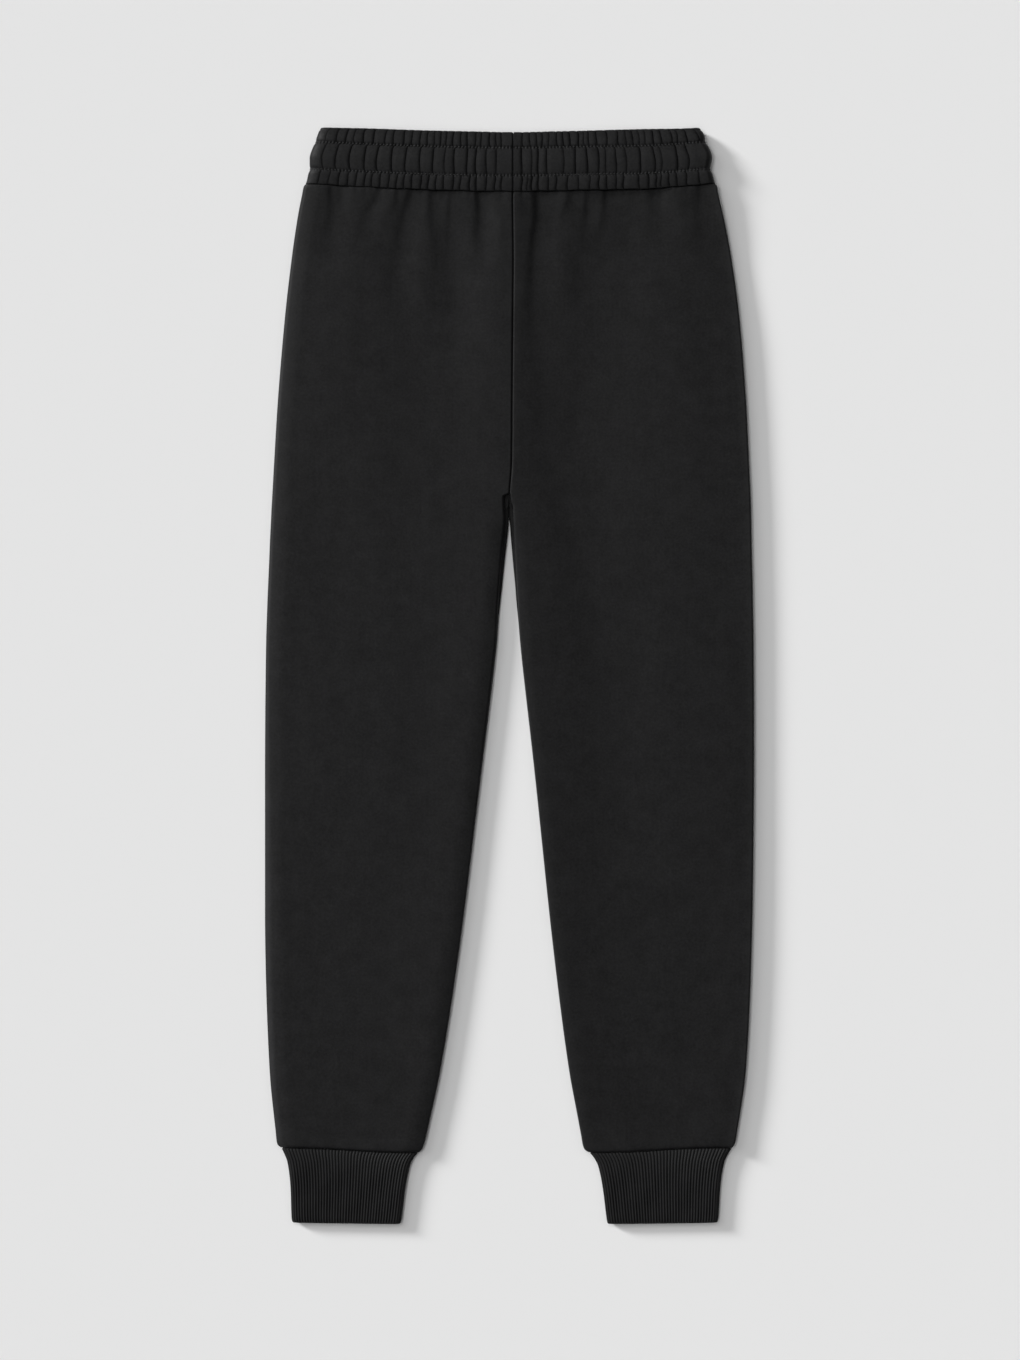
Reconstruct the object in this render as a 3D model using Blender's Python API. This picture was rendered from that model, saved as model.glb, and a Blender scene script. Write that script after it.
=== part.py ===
"""Jogger sweatpants laid out flat on a surface, back upwards.

Seven sewn pieces: a gathered waistband, a back and a front panel for each leg, and two ribbed cuffs.
X runs across the garment, Y from the hems up to the waist, Z away from the surface. The origin is the
middle of the footprint. "Down" is the distance below the waist edge. Sizes are in millimetres, and
become metres where a mesh is made. Left and right are as seen from above, which is the wearer's own.
"""

import math
from collections import namedtuple

import bmesh
import bpy

NAME = "jogger_sweatpants"
MM = 0.001
LENGTH = 988.0            # waist edge to cuff edge
SEAM_GAP = 0.3            # between sewn pieces
SEAM_HEIGHT = 4.2         # side seams and inseams above the surface
RISE_X = 1.6              # centre-back and centre-front seams, at the waist

# The leg panels' outline, and how high a laid pair of panels stands. "wall" is the cloth, doubled
# by its turnings at the waist seam. "sag" is how far the back sinks onto the front. "turn" is how far
# the inner edge has turned down, from 0 at the rise seam to 1 at the inseam. "step" is the distance
# between the back panel's own sections below this one.
Section = namedtuple("Section", "down left right gap_left gap_right height wall sag turn step")
SECTIONS = (
    Section(50.9, -183.4, 184.4, RISE_X, RISE_X, 9.8, 3.3, 0.0, 0.0, 2.2),
    Section(53.0, -185.2, 186.6, RISE_X, RISE_X, 10.4, 3.4, 0.0, 0.0, 7.0),
    Section(60.0, -186.8, 188.1, RISE_X, RISE_X, 9.8, 3.2, 0.0, 0.0, 10.0),
    Section(80.0, -190.7, 192.8, RISE_X, RISE_X, 9.2, 2.8, 0.0, 0.0, 17.0),
    Section(115.0, -195.9, 199.4, RISE_X, RISE_X, 8.8, 2.8, 0.2, 0.0, 27.0),
    Section(170.0, -202.2, 206.8, RISE_X, RISE_X, 8.8, 2.8, 0.5, 0.0, 37.0),
    Section(245.0, -208.6, 213.1, 0.9, 0.9, 8.8, 2.8, 1.0, 0.0, 40.0),
    Section(326.0, -213.4, 217.0, -0.3, -0.3, 8.8, 2.8, 1.4, 0.0, 7.0),
    Section(340.0, -214.2, 217.6, -0.5, -0.5, 8.8, 2.8, 1.4, 0.55, 4.0),
    Section(348.0, -214.6, 217.7, -3.0, 1.5, 8.8, 2.8, 1.4, 1.0, 12.0),
    Section(360.0, -215.3, 218.0, -4.6, 2.8, 8.8, 2.8, 1.6, 1.0, 35.0),
    Section(430.0, -218.5, 219.6, -8.3, 6.2, 8.8, 2.8, 2.2, 1.0, 75.0),
    Section(580.0, -220.3, 220.3, -25.2, 22.5, 8.8, 2.8, 2.4, 1.0, 80.0),
    Section(740.0, -219.9, 218.3, -45.3, 39.4, 8.8, 2.8, 2.4, 1.0, 55.0),
    Section(850.0, -215.9, 212.3, -62.4, 53.8, 8.8, 2.8, 1.8, 1.0, 28.0),
    Section(905.0, -210.3, 204.6, -75.0, 64.4, 8.8, 2.8, 0.6, 1.0, 11.0),
    Section(916.0, -208.3, 202.5, -78.4, 67.0, 8.6, 2.8, 0.0, 1.0, 3.0),
    Section(919.0, -204.6, 199.0, -81.0, 70.6, 7.8, 2.6, 0.0, 1.0, 1.0),
)
OUTER_ROLL = 14.0         # how far the outer edge takes to round over
INNER_ROLL = 11.0         # the same at the inseam
WAIST_DIP = 6.6           # the waist seam hangs lower at the centre
WAIST_DIP_FADE = 110.0
HEM_SLANT = 4.2           # the hems hang lower at the inseam
HEM_SLANT_FADE = 50.0
BACK_COLUMNS = 30
PLAIN_COLUMNS = 12        # of the fronts and of every inner skin
EDGE_SHARE = 1 / 6        # of a panel's columns, on each rounded edge
COARSER = 3.0             # the plain skins' sections, against the backs'

# The largest soft folds that run down from the gathers, over the back. Each is a trough through
# four points, which fades out at its lower end. Side is -1 for the left panel and 1 for the right.
Fold = namedtuple("Fold", "side depth width x1 down1 x2 down2 x3 down3 x4 down4")
FOLDS = (
    Fold(-1, 1.2, 7.0, -158, 54, -166, 80, -171, 102, -176, 125),
    Fold(-1, 1.6, 7.0, -90, 54, -104, 97, -111, 147, -108, 200),
    Fold(-1, 1.9, 7.0, -72, 54, -67, 138, -70, 196, -84, 265),
    Fold(-1, 1.1, 6.0, -30, 58, -31, 80, -32, 100, -33, 122),
    Fold(1, 2.0, 7.0, 21, 58, 15, 156, 21, 246, 46, 365),
    Fold(1, 1.7, 9.0, 84, 54, 70, 110, 58, 186, 56, 240),
    Fold(1, 1.0, 6.0, 126, 54, 124, 68, 122, 80, 120, 96),
)

# The waistband's outline: three puffed strips, drawn in by two rows of stitching. "down" is at the
# sides, "dip" is how much lower the row is at the centre, and "gather" is the gathers' share there.
Row = namedtuple("Row", "down dip left right height gather")
WAISTBAND = (
    Row(0.0, 5.4, -170.6, 169.6, 8.0, 0.4),
    Row(2.2, 5.3, -171.8, 172.4, 12.4, 1.0),
    Row(7.0, 5.1, -173.3, 175.4, 13.8, 1.0),
    Row(11.2, 5.0, -174.0, 176.4, 12.9, 0.9),
    Row(13.5, 4.9, -174.2, 176.5, 11.9, 0.3),
    Row(16.5, 4.9, -176.2, 178.6, 13.4, 1.0),
    Row(26.0, 5.1, -179.6, 182.1, 15.0, 1.2),
    Row(34.0, 5.5, -179.8, 181.4, 13.9, 1.0),
    Row(37.6, 5.8, -179.3, 181.0, 12.3, 0.3),
    Row(41.5, 6.1, -180.9, 182.5, 13.2, 1.0),
    Row(47.6, 6.5, -182.2, 184.0, 12.2, 1.0),
    Row(50.6, 6.6, -181.8, 183.2, 10.4, 0.4),
)
WAISTBAND_ROLL = 11.0
WAISTBAND_HOLLOW = 3.6    # between the band's back and front, inside

# The gathers of each strip of the waistband's back, from its first row to its last.
Strip = namedtuple("Strip", "first_row last_row gathers depth drift")
STRIPS = (
    Strip(0, 4, 46, 1.0, 0.0),
    Strip(5, 8, 30, 1.5, 0.3),
    Strip(9, 11, 43, 1.1, 0.6),
)
BAND_PITCH = 2.55         # between the points over its back
PLAIN_PITCH = 10.0        # between the points of the inner skins of the waistband and cuffs

# Each cuff's outline from its outer edge to its inseam, below the leg's hem.
Cuff = namedtuple("Cuff", "down outer inner height")
LEFT_CUFF = (
    Cuff(0.0, -203.4, -81.6, 7.4),
    Cuff(5.0, -201.7, -85.8, 7.8),
    Cuff(13.0, -199.6, -89.4, 8.0),
    Cuff(33.0, -197.6, -93.2, 8.0),
    Cuff(64.5, -196.4, -97.0, 7.8),
    Cuff(68.7, -195.0, -98.4, 6.4),
)
RIGHT_CUFF = (
    Cuff(0.0, 197.4, 71.6, 7.4),
    Cuff(5.0, 194.2, 75.6, 7.8),
    Cuff(13.0, 192.0, 79.4, 8.0),
    Cuff(33.0, 190.0, 83.4, 8.0),
    Cuff(64.5, 188.2, 87.2, 7.8),
    Cuff(68.7, 187.0, 88.6, 6.4),
)
CUFF_ROLL = 7.0
CUFF_HOLLOW = 2.6
RIB_COUNT = 84            # round a whole cuff
RIB_HEIGHT = 0.7

CHARCOAL = (0.016, 0.016, 0.017)
BAND_CHARCOAL = (0.0137, 0.0137, 0.0145)
RIB_BLACK = (0.012, 0.012, 0.013)


# Values between the rows of a table

def read(rows, column, down):
    """A column's value at a distance down, on a smooth curve through its rows."""
    values = [getattr(row, column) for row in rows]
    places = [row.down for row in rows]
    index = 0
    while index < len(rows) - 2 and places[index + 1] < down:
        index += 1

    def slope(at):
        before = max(at - 1, 0)
        after = min(at + 1, len(rows) - 1)
        return (values[after] - values[before]) / (places[after] - places[before])

    span = places[index + 1] - places[index]
    part = min(max((down - places[index]) / span, 0.0), 1.0)
    start, end = values[index], values[index + 1]
    value = (start * (1 + 2 * part) * (1 - part) ** 2 + span * slope(index) * part * (1 - part) ** 2
             + end * part ** 2 * (3 - 2 * part) + span * slope(index + 1) * part ** 2 * (part - 1))
    return min(max(value, min(start, end)), max(start, end))


def ease(part):
    """A smooth rise from 0 to 1."""
    part = min(max(part, 0.0), 1.0)
    return part * part * (3 - 2 * part)


# Walls

def skin(mesh, grid):
    """Faces over a grid of points, given as rows of (x, y, z) in millimetres."""
    rows = [[mesh.verts.new((x * MM, y * MM, z * MM)) for x, y, z in row] for row in grid]
    for upper, lower in zip(rows, rows[1:]):
        for column in range(len(upper) - 1):
            mesh.faces.new((upper[column], upper[column + 1], lower[column + 1], lower[column]))
    return rows


def zip_edges(mesh, outer, inner):
    """Close the rim between two edges that may have different numbers of points."""
    def across(outer_index, inner_index):
        if outer_index == len(outer) or inner_index == len(inner):
            return math.inf
        return (outer[outer_index].co - inner[inner_index].co).length

    first = second = 0
    while first < len(outer) - 1 or second < len(inner) - 1:
        if across(first + 1, second) <= across(first, second + 1):
            mesh.faces.new((outer[first], outer[first + 1], inner[second]))
            first += 1
        else:
            mesh.faces.new((outer[first], inner[second + 1], inner[second]))
            second += 1


def wall(name, outer_grid, inner_grid, material):
    """One closed wall of cloth between an outer skin and a plainer inner one."""
    mesh = bmesh.new()
    outer = skin(mesh, outer_grid)
    inner = skin(mesh, inner_grid)
    zip_edges(mesh, outer[0], inner[0])
    zip_edges(mesh, outer[-1], inner[-1])
    zip_edges(mesh, [row[0] for row in outer], [row[0] for row in inner])
    zip_edges(mesh, [row[-1] for row in outer], [row[-1] for row in inner])
    bmesh.ops.recalc_face_normals(mesh, faces=mesh.faces)
    data = bpy.data.meshes.new(name)
    mesh.to_mesh(data)
    mesh.free()
    data.shade_smooth()
    data.set_sharp_from_angle(angle=math.radians(50))
    data.materials.append(material)
    piece = bpy.data.objects.new(name, data)
    bpy.data.collections[NAME].objects.link(piece)
    return piece


def cloth(name, colour, roughness):
    material = bpy.data.materials.new(name)
    material.use_nodes = True
    shader = material.node_tree.nodes["Principled BSDF"]
    shader.inputs["Base Color"].default_value = (*colour, 1.0)
    shader.inputs["Roughness"].default_value = roughness
    shader.inputs["Metallic"].default_value = 0.0
    material.diffuse_color = (*colour, 1.0)
    return material


# Leg panels

def fold_centre(fold, down):
    """A fold's place across the panel, on the curve through its four points."""
    path = ((fold.x1, fold.down1), (fold.x2, fold.down2), (fold.x3, fold.down3), (fold.x4, fold.down4))
    down = max(down, fold.down1)
    total = 0.0
    for x, at in path:
        weight = 1.0
        for _, other in path:
            if other != at:
                weight *= (down - other) / (at - other)
        total += weight * x
    return total


def fold_depth(x, down, side):
    """How deep the folds of one back panel are at a place."""
    depth = 0.0
    for fold in FOLDS:
        if fold.side == side and down < fold.down4:
            fade = ease((fold.down4 - down) / (0.6 * (fold.down4 - fold.down1)))
            depth += fold.depth * fade * math.exp(-((x - fold_centre(fold, down)) / fold.width) ** 2)
    return depth


def waist_dip(x, down):
    """How much lower a section lies here than at its sides, below the curved waist seam."""
    fade = ease(1 - (down - SECTIONS[0].down) / WAIST_DIP_FADE)
    return WAIST_DIP * fade * max(0.0, 1 - (x / SECTIONS[0].right) ** 2)


def hem_slant(x, side, down):
    """How much lower a section lies here than at its outer edge, above the slanting hem."""
    hem = SECTIONS[-1]
    outer_edge, inner_edge = (hem.left, hem.gap_left) if side < 0 else (hem.right, hem.gap_right)
    across = (x - outer_edge) / (inner_edge - outer_edge)
    return HEM_SLANT * ease(1 - (hem.down - down) / HEM_SLANT_FADE) * ease((across - 0.1) / 0.8)


def panel_point(side, is_back, down, part, is_inner):
    """A point of a leg panel. Part runs from 0 at the side seam to 1 at the rise seam or inseam."""
    outer_edge = read(SECTIONS, "left" if side < 0 else "right", down)
    inner_edge = read(SECTIONS, "gap_left" if side < 0 else "gap_right", down) + side * SEAM_GAP / 2
    turned = math.pi / 2 * read(SECTIONS, "turn", down)
    flat_start = outer_edge - side * OUTER_ROLL
    flat_end = inner_edge + side * INNER_ROLL
    if part < EDGE_SHARE:
        angle = math.pi / 2 * (1 - part / EDGE_SHARE)
        x = flat_start + side * OUTER_ROLL * math.sin(angle)
        lean = side * math.sin(angle)
    elif part > 1 - EDGE_SHARE:
        share = (part - 1 + EDGE_SHARE) / EDGE_SHARE
        angle = turned * share
        x = flat_end - side * INNER_ROLL * (math.sin(angle) / math.sin(turned) if turned > 0 else share)
        lean = -side * math.sin(angle)
    else:
        angle = lean = 0.0
        x = flat_start + (flat_end - flat_start) * (part - EDGE_SHARE) / (1 - 2 * EDGE_SHARE)
    across = (x - outer_edge) / (inner_edge - outer_edge)
    inset = read(SECTIONS, "wall", down) if is_inner else 0.0
    upright = math.cos(angle)
    if is_back:
        base = SEAM_HEIGHT + SEAM_GAP / 2
        sag = read(SECTIONS, "sag", down) * math.sin(math.pi * across) ** 2
        rise = read(SECTIONS, "height", down) - base - sag - fold_depth(x, down, side)
        z = base + (rise - inset) * upright
    else:
        z = (SEAM_HEIGHT - SEAM_GAP / 2) * (1 - upright) + inset * upright
    y = LENGTH / 2 - down - waist_dip(x, down) - hem_slant(x, side, down)
    return x - inset * lean, y, z


def section_places(coarseness):
    """Distances down of a panel's sections: those of the table, and more between them."""
    places = [SECTIONS[0].down]
    for upper, lower in zip(SECTIONS, SECTIONS[1:]):
        count = max(1, round((lower.down - upper.down) / (upper.step * coarseness)))
        places += [upper.down + (lower.down - upper.down) * (step + 1) / count for step in range(count)]
    return places


def panel(name, side, is_back, material):
    """One leg panel, from side seam to rise seam and inseam, and from waist seam to hem."""
    def grid(columns, coarseness, is_inner):
        return [[panel_point(side, is_back, down, column / columns, is_inner)
                 for column in range(columns + 1)] for down in section_places(coarseness)]

    outer = grid(BACK_COLUMNS, 1.0, False) if is_back else grid(PLAIN_COLUMNS, COARSER, False)
    return wall(name, outer, grid(PLAIN_COLUMNS, COARSER, True), material)


# Rings: the waistband and the cuffs

def corner(left, right, height, roll, quarter):
    """One rounded quarter of a flattened tube, clockwise from its left edge: points and leans."""
    steps = 12
    points = []
    for step in range(steps + 1):
        angle = math.pi - math.pi / 2 * (quarter + step / steps)
        centre = left + roll if quarter in (0, 3) else right - roll
        points.append((centre + roll * math.cos(angle), height / 2 * (1 + math.sin(angle)),
                       math.cos(angle), math.sin(angle)))
    return points


def outline(left, right, height, roll, slit):
    """Points round a flattened tube, from one side of its slit to the other. The slit is at the
    left or the right edge, or at a place across its top."""
    quarters = [corner(left, right, height, roll, quarter) for quarter in range(4)]
    half_gap = SEAM_GAP / 2
    if slit == "left":
        points = quarters[0] + quarters[1] + quarters[2] + quarters[3]
    elif slit == "right":
        points = quarters[2] + quarters[3] + quarters[0] + quarters[1]
    else:
        start = (slit + half_gap, height, 0.0, 1.0)
        end = (slit - half_gap, height, 0.0, 1.0)
        return [start] + quarters[1] + quarters[2] + quarters[3] + quarters[0] + [end]
    up = 1 if slit == "left" else -1
    edge = points[0][0]
    points[0] = (edge, height / 2 + up * half_gap, points[0][2], 0.0)
    points[-1] = (edge, height / 2 - up * half_gap, points[-1][2], 0.0)
    return points


def outline_length(points):
    return sum(math.dist(before[:2], after[:2]) for before, after in zip(points, points[1:]))


def points_along(points, shares):
    """Points at shares of the length of an outline."""
    lengths = [0.0]
    for before, after in zip(points, points[1:]):
        lengths.append(lengths[-1] + math.dist(before[:2], after[:2]))
    found = []
    segment = 0
    for share in shares:
        while segment < len(points) - 2 and lengths[segment + 1] < share * lengths[-1]:
            segment += 1
        span = max(lengths[segment + 1] - lengths[segment], 1e-9)
        part = (share * lengths[-1] - lengths[segment]) / span
        found.append([a + (b - a) * part for a, b in zip(points[segment], points[segment + 1])])
    return found


def shares_round(points, count, sparse):
    """Even shares of an outline, with only one in a few kept where it lies flat underneath."""
    even = [index / count for index in range(count + 1)]
    kept = [0.0]
    for index, (_, _, _, lean) in enumerate(points_along(points, even)):
        if 0 < index < count and (lean > -0.95 or index % sparse == 0):
            kept.append(even[index])
    return kept + [1.0]


def thinned(shares, spacing):
    """Fewer of an outline's shares, at least a spacing apart."""
    kept = [0.0]
    for share in shares[1:-1]:
        if share - kept[-1] >= spacing and 1.0 - share >= spacing / 2:
            kept.append(share)
    return kept + [1.0]


def gather_depth(row_index, x):
    """How deep the waistband's back is gathered at a place."""
    strip = next(strip for strip in STRIPS if strip.first_row <= row_index <= strip.last_row)
    row = WAISTBAND[row_index]
    wave = strip.gathers * (x - row.left) / (row.right - row.left) + strip.drift
    wave += 0.24 * math.sin(1.1 * wave) + 0.1 * math.sin(2.7 * wave)
    trough = (0.5 + 0.5 * math.cos(2 * math.pi * wave)) ** 2
    return strip.depth * row.gather * trough * (0.8 + 0.2 * math.sin(1.9 * wave))


def waistband(material):
    """One strip seamed at the centre back, turned over elastic and gathered by it."""
    reference = WAISTBAND[6]
    around = outline(reference.left, reference.right, reference.height, WAISTBAND_ROLL, RISE_X)
    length = outline_length(around)
    shares = shares_round(around, round(length / BAND_PITCH), 8)
    plain_shares = thinned(shares, PLAIN_PITCH / length)
    outer, inner = [], []
    for index, row in enumerate(WAISTBAND):
        half_width = (row.right - row.left) / 2
        middle = (row.right + row.left) / 2

        def place(x, z):
            dip = row.dip * max(0.0, 1 - ((x - middle) / half_width) ** 2)
            return x, LENGTH / 2 - row.down - dip, z

        around = outline(row.left, row.right, row.height, WAISTBAND_ROLL, RISE_X)
        points = []
        for x, z, lean_x, lean_z in points_along(around, shares):
            depth = gather_depth(index, x) * max(0.0, lean_z)
            points.append(place(x - depth * lean_x, z - depth * lean_z))
        outer.append(points)
        inset = (row.height - WAISTBAND_HOLLOW) / 2
        around = outline(row.left + inset, row.right - inset, WAISTBAND_HOLLOW, WAISTBAND_ROLL - inset, RISE_X)
        inner.append([place(x, z + inset) for x, z, _, _ in points_along(around, plain_shares)])
    return wall("waistband", outer, inner, material)


def cuff(name, rows, side, material):
    """A ribbed tube seamed at the inseam. Its ribs are raised on the outer skin, all but underneath."""
    slit = "right" if side < 0 else "left"
    hem = SECTIONS[-1].down + SEAM_GAP

    def edges(row, inset):
        return sorted((row.outer - side * inset, row.inner + side * inset))

    left, right = edges(rows[3], 0.0)
    around = outline(left, right, rows[3].height, CUFF_ROLL, slit)
    shares = shares_round(around, 2 * RIB_COUNT, 10)
    plain_shares = thinned(shares, PLAIN_PITCH / outline_length(around))
    outer, inner = [], []
    for row in rows:
        slant = 1 - row.down / rows[-1].down

        def place(x, z):
            return x, LENGTH / 2 - hem - row.down - slant * hem_slant(x, side, SECTIONS[-1].down), z

        left, right = edges(row, 0.0)
        points = []
        for share, (x, z, lean_x, lean_z) in zip(shares, points_along(
                outline(left, right, row.height, CUFF_ROLL, slit), shares)):
            is_valley = round(share * 2 * RIB_COUNT) % 2 == 0
            depth = RIB_HEIGHT * min(1.0, 10 * (1 + lean_z)) if is_valley and 0 < share < 1 else 0.0
            points.append(place(x - depth * lean_x, z - depth * lean_z))
        outer.append(points)
        inset = (row.height - CUFF_HOLLOW) / 2
        left, right = edges(row, inset)
        around = outline(left, right, CUFF_HOLLOW, CUFF_ROLL - inset, slit)
        inner.append([place(x, z + inset) for x, z, _, _ in points_along(around, plain_shares)])
    return wall(name, outer, inner, material)


def main():
    for item in list(bpy.data.objects):
        bpy.data.objects.remove(item)
    bpy.context.scene.collection.children.link(bpy.data.collections.new(NAME))
    fleece = cloth("fleece_jersey", CHARCOAL, 0.9)
    rib = cloth("rib_knit", RIB_BLACK, 0.9)
    waistband(cloth("waistband_jersey", BAND_CHARCOAL, 0.9))
    panel("left_back_leg", -1, True, fleece)
    panel("right_back_leg", 1, True, fleece)
    panel("left_front_leg", -1, False, fleece)
    panel("right_front_leg", 1, False, fleece)
    cuff("left_cuff", LEFT_CUFF, -1, rib)
    cuff("right_cuff", RIGHT_CUFF, 1, rib)


main()
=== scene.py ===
"""Jogger sweatpants laid out flat, back upwards, dressed in fleece jersey and rib knit.

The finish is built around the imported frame: a gathered waistband with its stitching, a back and a front
panel for each leg, and two ribbed cuffs. X runs across the garment, Y up to the waist and Z away from
the surface. "Down" is the distance below the waist edge. Tables and the shapes worked out from them are
in millimetres, and become metres where a mesh is made.
"""

import math
from collections import namedtuple

import bmesh
import bpy
import numpy as np
from bpy.props import FloatProperty, FloatVectorProperty, IntProperty, PointerProperty
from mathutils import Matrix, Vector

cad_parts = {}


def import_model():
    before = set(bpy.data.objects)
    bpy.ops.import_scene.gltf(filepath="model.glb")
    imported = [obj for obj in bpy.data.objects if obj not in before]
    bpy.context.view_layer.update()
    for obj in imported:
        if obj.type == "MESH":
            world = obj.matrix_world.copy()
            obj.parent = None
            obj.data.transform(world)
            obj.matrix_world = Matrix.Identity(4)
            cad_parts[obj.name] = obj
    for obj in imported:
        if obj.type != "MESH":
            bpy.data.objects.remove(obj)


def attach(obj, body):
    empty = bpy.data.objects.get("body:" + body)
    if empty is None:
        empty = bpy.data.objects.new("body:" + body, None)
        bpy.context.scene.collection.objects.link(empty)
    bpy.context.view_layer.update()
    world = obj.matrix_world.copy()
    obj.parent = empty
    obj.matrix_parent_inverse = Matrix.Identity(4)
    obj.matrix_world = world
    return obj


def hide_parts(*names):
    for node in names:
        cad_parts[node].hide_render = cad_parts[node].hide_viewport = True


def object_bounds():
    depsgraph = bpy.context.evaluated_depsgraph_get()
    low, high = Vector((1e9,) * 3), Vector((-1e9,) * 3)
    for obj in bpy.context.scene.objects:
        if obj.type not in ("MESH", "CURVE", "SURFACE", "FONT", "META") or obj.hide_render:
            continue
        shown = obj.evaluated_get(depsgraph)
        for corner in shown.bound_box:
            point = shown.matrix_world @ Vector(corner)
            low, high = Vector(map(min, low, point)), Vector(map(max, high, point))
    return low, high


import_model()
CAD_LOW, CAD_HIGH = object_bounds()

bl_info = {
    "name": "Jogger Sweatpants",
    "version": (1, 0, 0),
    "blender": (4, 5, 0),
    "location": "3D View > Sidebar > Garment",
    "description": "Builds a pair of jogger sweatpants laid flat: waistband, legs, cuffs and a stage",
    "category": "Add Mesh",
}

MM = 0.001
LENGTH = (CAD_HIGH.y - CAD_LOW.y) / MM
SEAM_GAP = 0.3            # between sewn pieces
SEAM_HEIGHT = 4.2         # side seams and inseams above the surface
SEAM_TUCK = 0.9           # how far a panel's edge is drawn into its side seam
BAND_DEPTH = 50.6
BAND_SEAM = 3.4           # where the seam of the waistband lies
STITCH_ROWS = (13.5, 37.6)
QUARTER = math.pi / 2
TURN = 2 * math.pi

# Where something holds, down or across: it comes in softly over "rise" and goes out over "fall". A
# change only comes in, from a place on, or only goes out, up to it.
Span = namedtuple("Span", "start rise end fall")
Change = namedtuple("Change", "place over")

# The leg panels' outline, and how high a laid pair of panels stands. "wall" is the cloth, which is
# thicker at the waist seam, where its turnings lie. "sag" is how far the back sinks onto the front.
Section = namedtuple("Section", "down left right gap_left gap_right height wall sag")
SECTIONS = (
    Section(BAND_DEPTH + SEAM_GAP, -184.3, 185.4, 3.2, 3.2, 11.5, 3.3, 0.0),
    Section(53.0, -185.4, 186.9, 3.2, 3.2, 11.5, 3.4, 0.0),
    Section(60.0, -186.8, 188.1, 3.1, 3.1, 11.0, 3.2, 0.0),
    Section(80.0, -190.7, 192.8, 3.4, 3.4, 9.8, 2.8, 0.0),
    Section(115.0, -195.9, 199.4, 3.7, 3.7, 8.8, 2.8, 0.2),
    Section(170.0, -202.2, 206.8, 3.2, 3.2, 8.8, 2.8, 0.5),
    Section(245.0, -208.6, 212.9, 2.6, 2.6, 8.8, 2.8, 1.0),
    Section(304.0, -212.2, 215.8, 2.1, 2.1, 8.8, 2.8, 1.3),
    Section(326.0, -213.4, 216.8, 0.5, 0.5, 8.8, 2.8, 1.4),
    Section(338.0, -214.1, 217.3, -0.4, -0.4, 8.8, 2.8, 1.4),
    Section(345.0, -214.5, 217.5, -0.5, -0.4, 8.8, 2.8, 1.4),
    Section(356.0, -215.0, 217.7, -0.8, 0.3, 8.8, 2.8, 1.5),
    Section(372.0, -215.8, 218.0, -2.3, 1.5, 8.8, 2.8, 1.7),
    Section(390.0, -216.5, 218.3, -4.4, 3.1, 8.8, 2.8, 1.9),
    Section(408.0, -217.3, 218.8, -6.4, 4.8, 8.8, 2.8, 2.0),
    Section(430.0, -218.2, 219.2, -8.4, 6.1, 8.8, 2.8, 2.2),
    Section(470.0, -219.4, 219.8, -11.2, 9.4, 8.8, 2.8, 2.3),
    Section(580.0, -220.4, 220.2, -24.7, 21.9, 8.8, 2.8, 2.4),
    Section(740.0, -220.1, 218.0, -44.7, 38.9, 8.8, 2.8, 2.4),
    Section(850.0, -216.2, 212.8, -61.8, 53.2, 8.8, 2.8, 1.8),
    Section(905.0, -210.8, 205.0, -74.3, 64.0, 8.8, 2.8, 0.6),
    Section(916.0, -209.3, 202.7, -77.9, 66.6, 8.6, 2.8, 0.0),
    Section(919.0, -206.4, 200.6, -80.5, 70.2, 8.0, 2.6, 0.0),
)
WAIST_DIP = 6.6           # the waist seam hangs lower at the centre
WAIST_DIP_FADE = 110.0
WAIST_DROP = 1.4          # how much further down all but the waist edge lies
WAIST_DROP_SPAN = Span(0.0, STITCH_ROWS[0], 200.0, 140.0)
# Where the cloth drops more than that, as (x, share, width) rows.
WAIST_DROPS = ((0.0, 0.4, 70.0), (125.0, 0.9, 38.0))
WANDER_REACH = 5.0        # how far from the waist seam its wandering is felt
HEM_SLANT = 4.2           # the hems hang lower at the inseam
HEM_SLANT_FADE = 50.0
HEM_SLANT_ACROSS = Change(0.1, 0.8)       # as shares of the width of the hem
HEM_ROLL = 1.4            # radius of the back panels' edges at the hem
FRONT_ROLL = 1.2          # radius of the front panels' edges
LIE_DEPTH = 0.13          # how wavy the loose cloth is, and where
LIE = Change(60.0, 80.0)
HOLLOW_DEEPEST = 60.0     # from the inner edge to where a leg's back sinks the most
SAG_SHARE = 1.3           # how far it sinks, against its section's sag
WALL_SPARE = 0.6          # how much thicker the walls are than their sections', for the folds
WALL_LEAST = 0.5          # what the deepest fold leaves of a wall
HEM_THINNING = 1.4        # how much thinner the walls are at the hem, where the cuff runs in
HEM_THIN = Change(890.0, 20.0)
TURNINGS_RISE = 0.2       # how far the turnings under the right panel lift it at the centre-back seam
TURNINGS = Span(0.0, 1.5, 12.0, 9.0)
TURNINGS_END = Change(328.0, 15.0)
FRONT_SEAM_SHIFT = -0.8   # where the centre-front seam lies, against the centre-back one
FRONT_SEAM_END = Change(330.0, 9.0)
FRONT_SEAM_CLOSED = 0.1   # how much closer the two fronts come at the crotch
FRONT_CLOSED_SPAN = Span(324.0, 4.0, 345.0, 3.0)
UNDERLAP = 1.4            # how far the legs run on under the waistband, and the cuffs into the legs
UNDERLAP_SHARE = 0.965    # how much of its width a leg keeps there
UNDERLAP_DROP = 0.2       # how much lower it lies there

# A groove where two edges are sewn together: how wide each side of it is, and how deep.
Groove = namedtuple("Groove", "width depth")
RISE_GROOVE = Groove(1.3, 1.9)
WAIST_GROOVE = Groove(0.35, 0.6)
RIGHT_GROOVE_SHARE = 0.3  # how deep its right side is, against its left side

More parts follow.
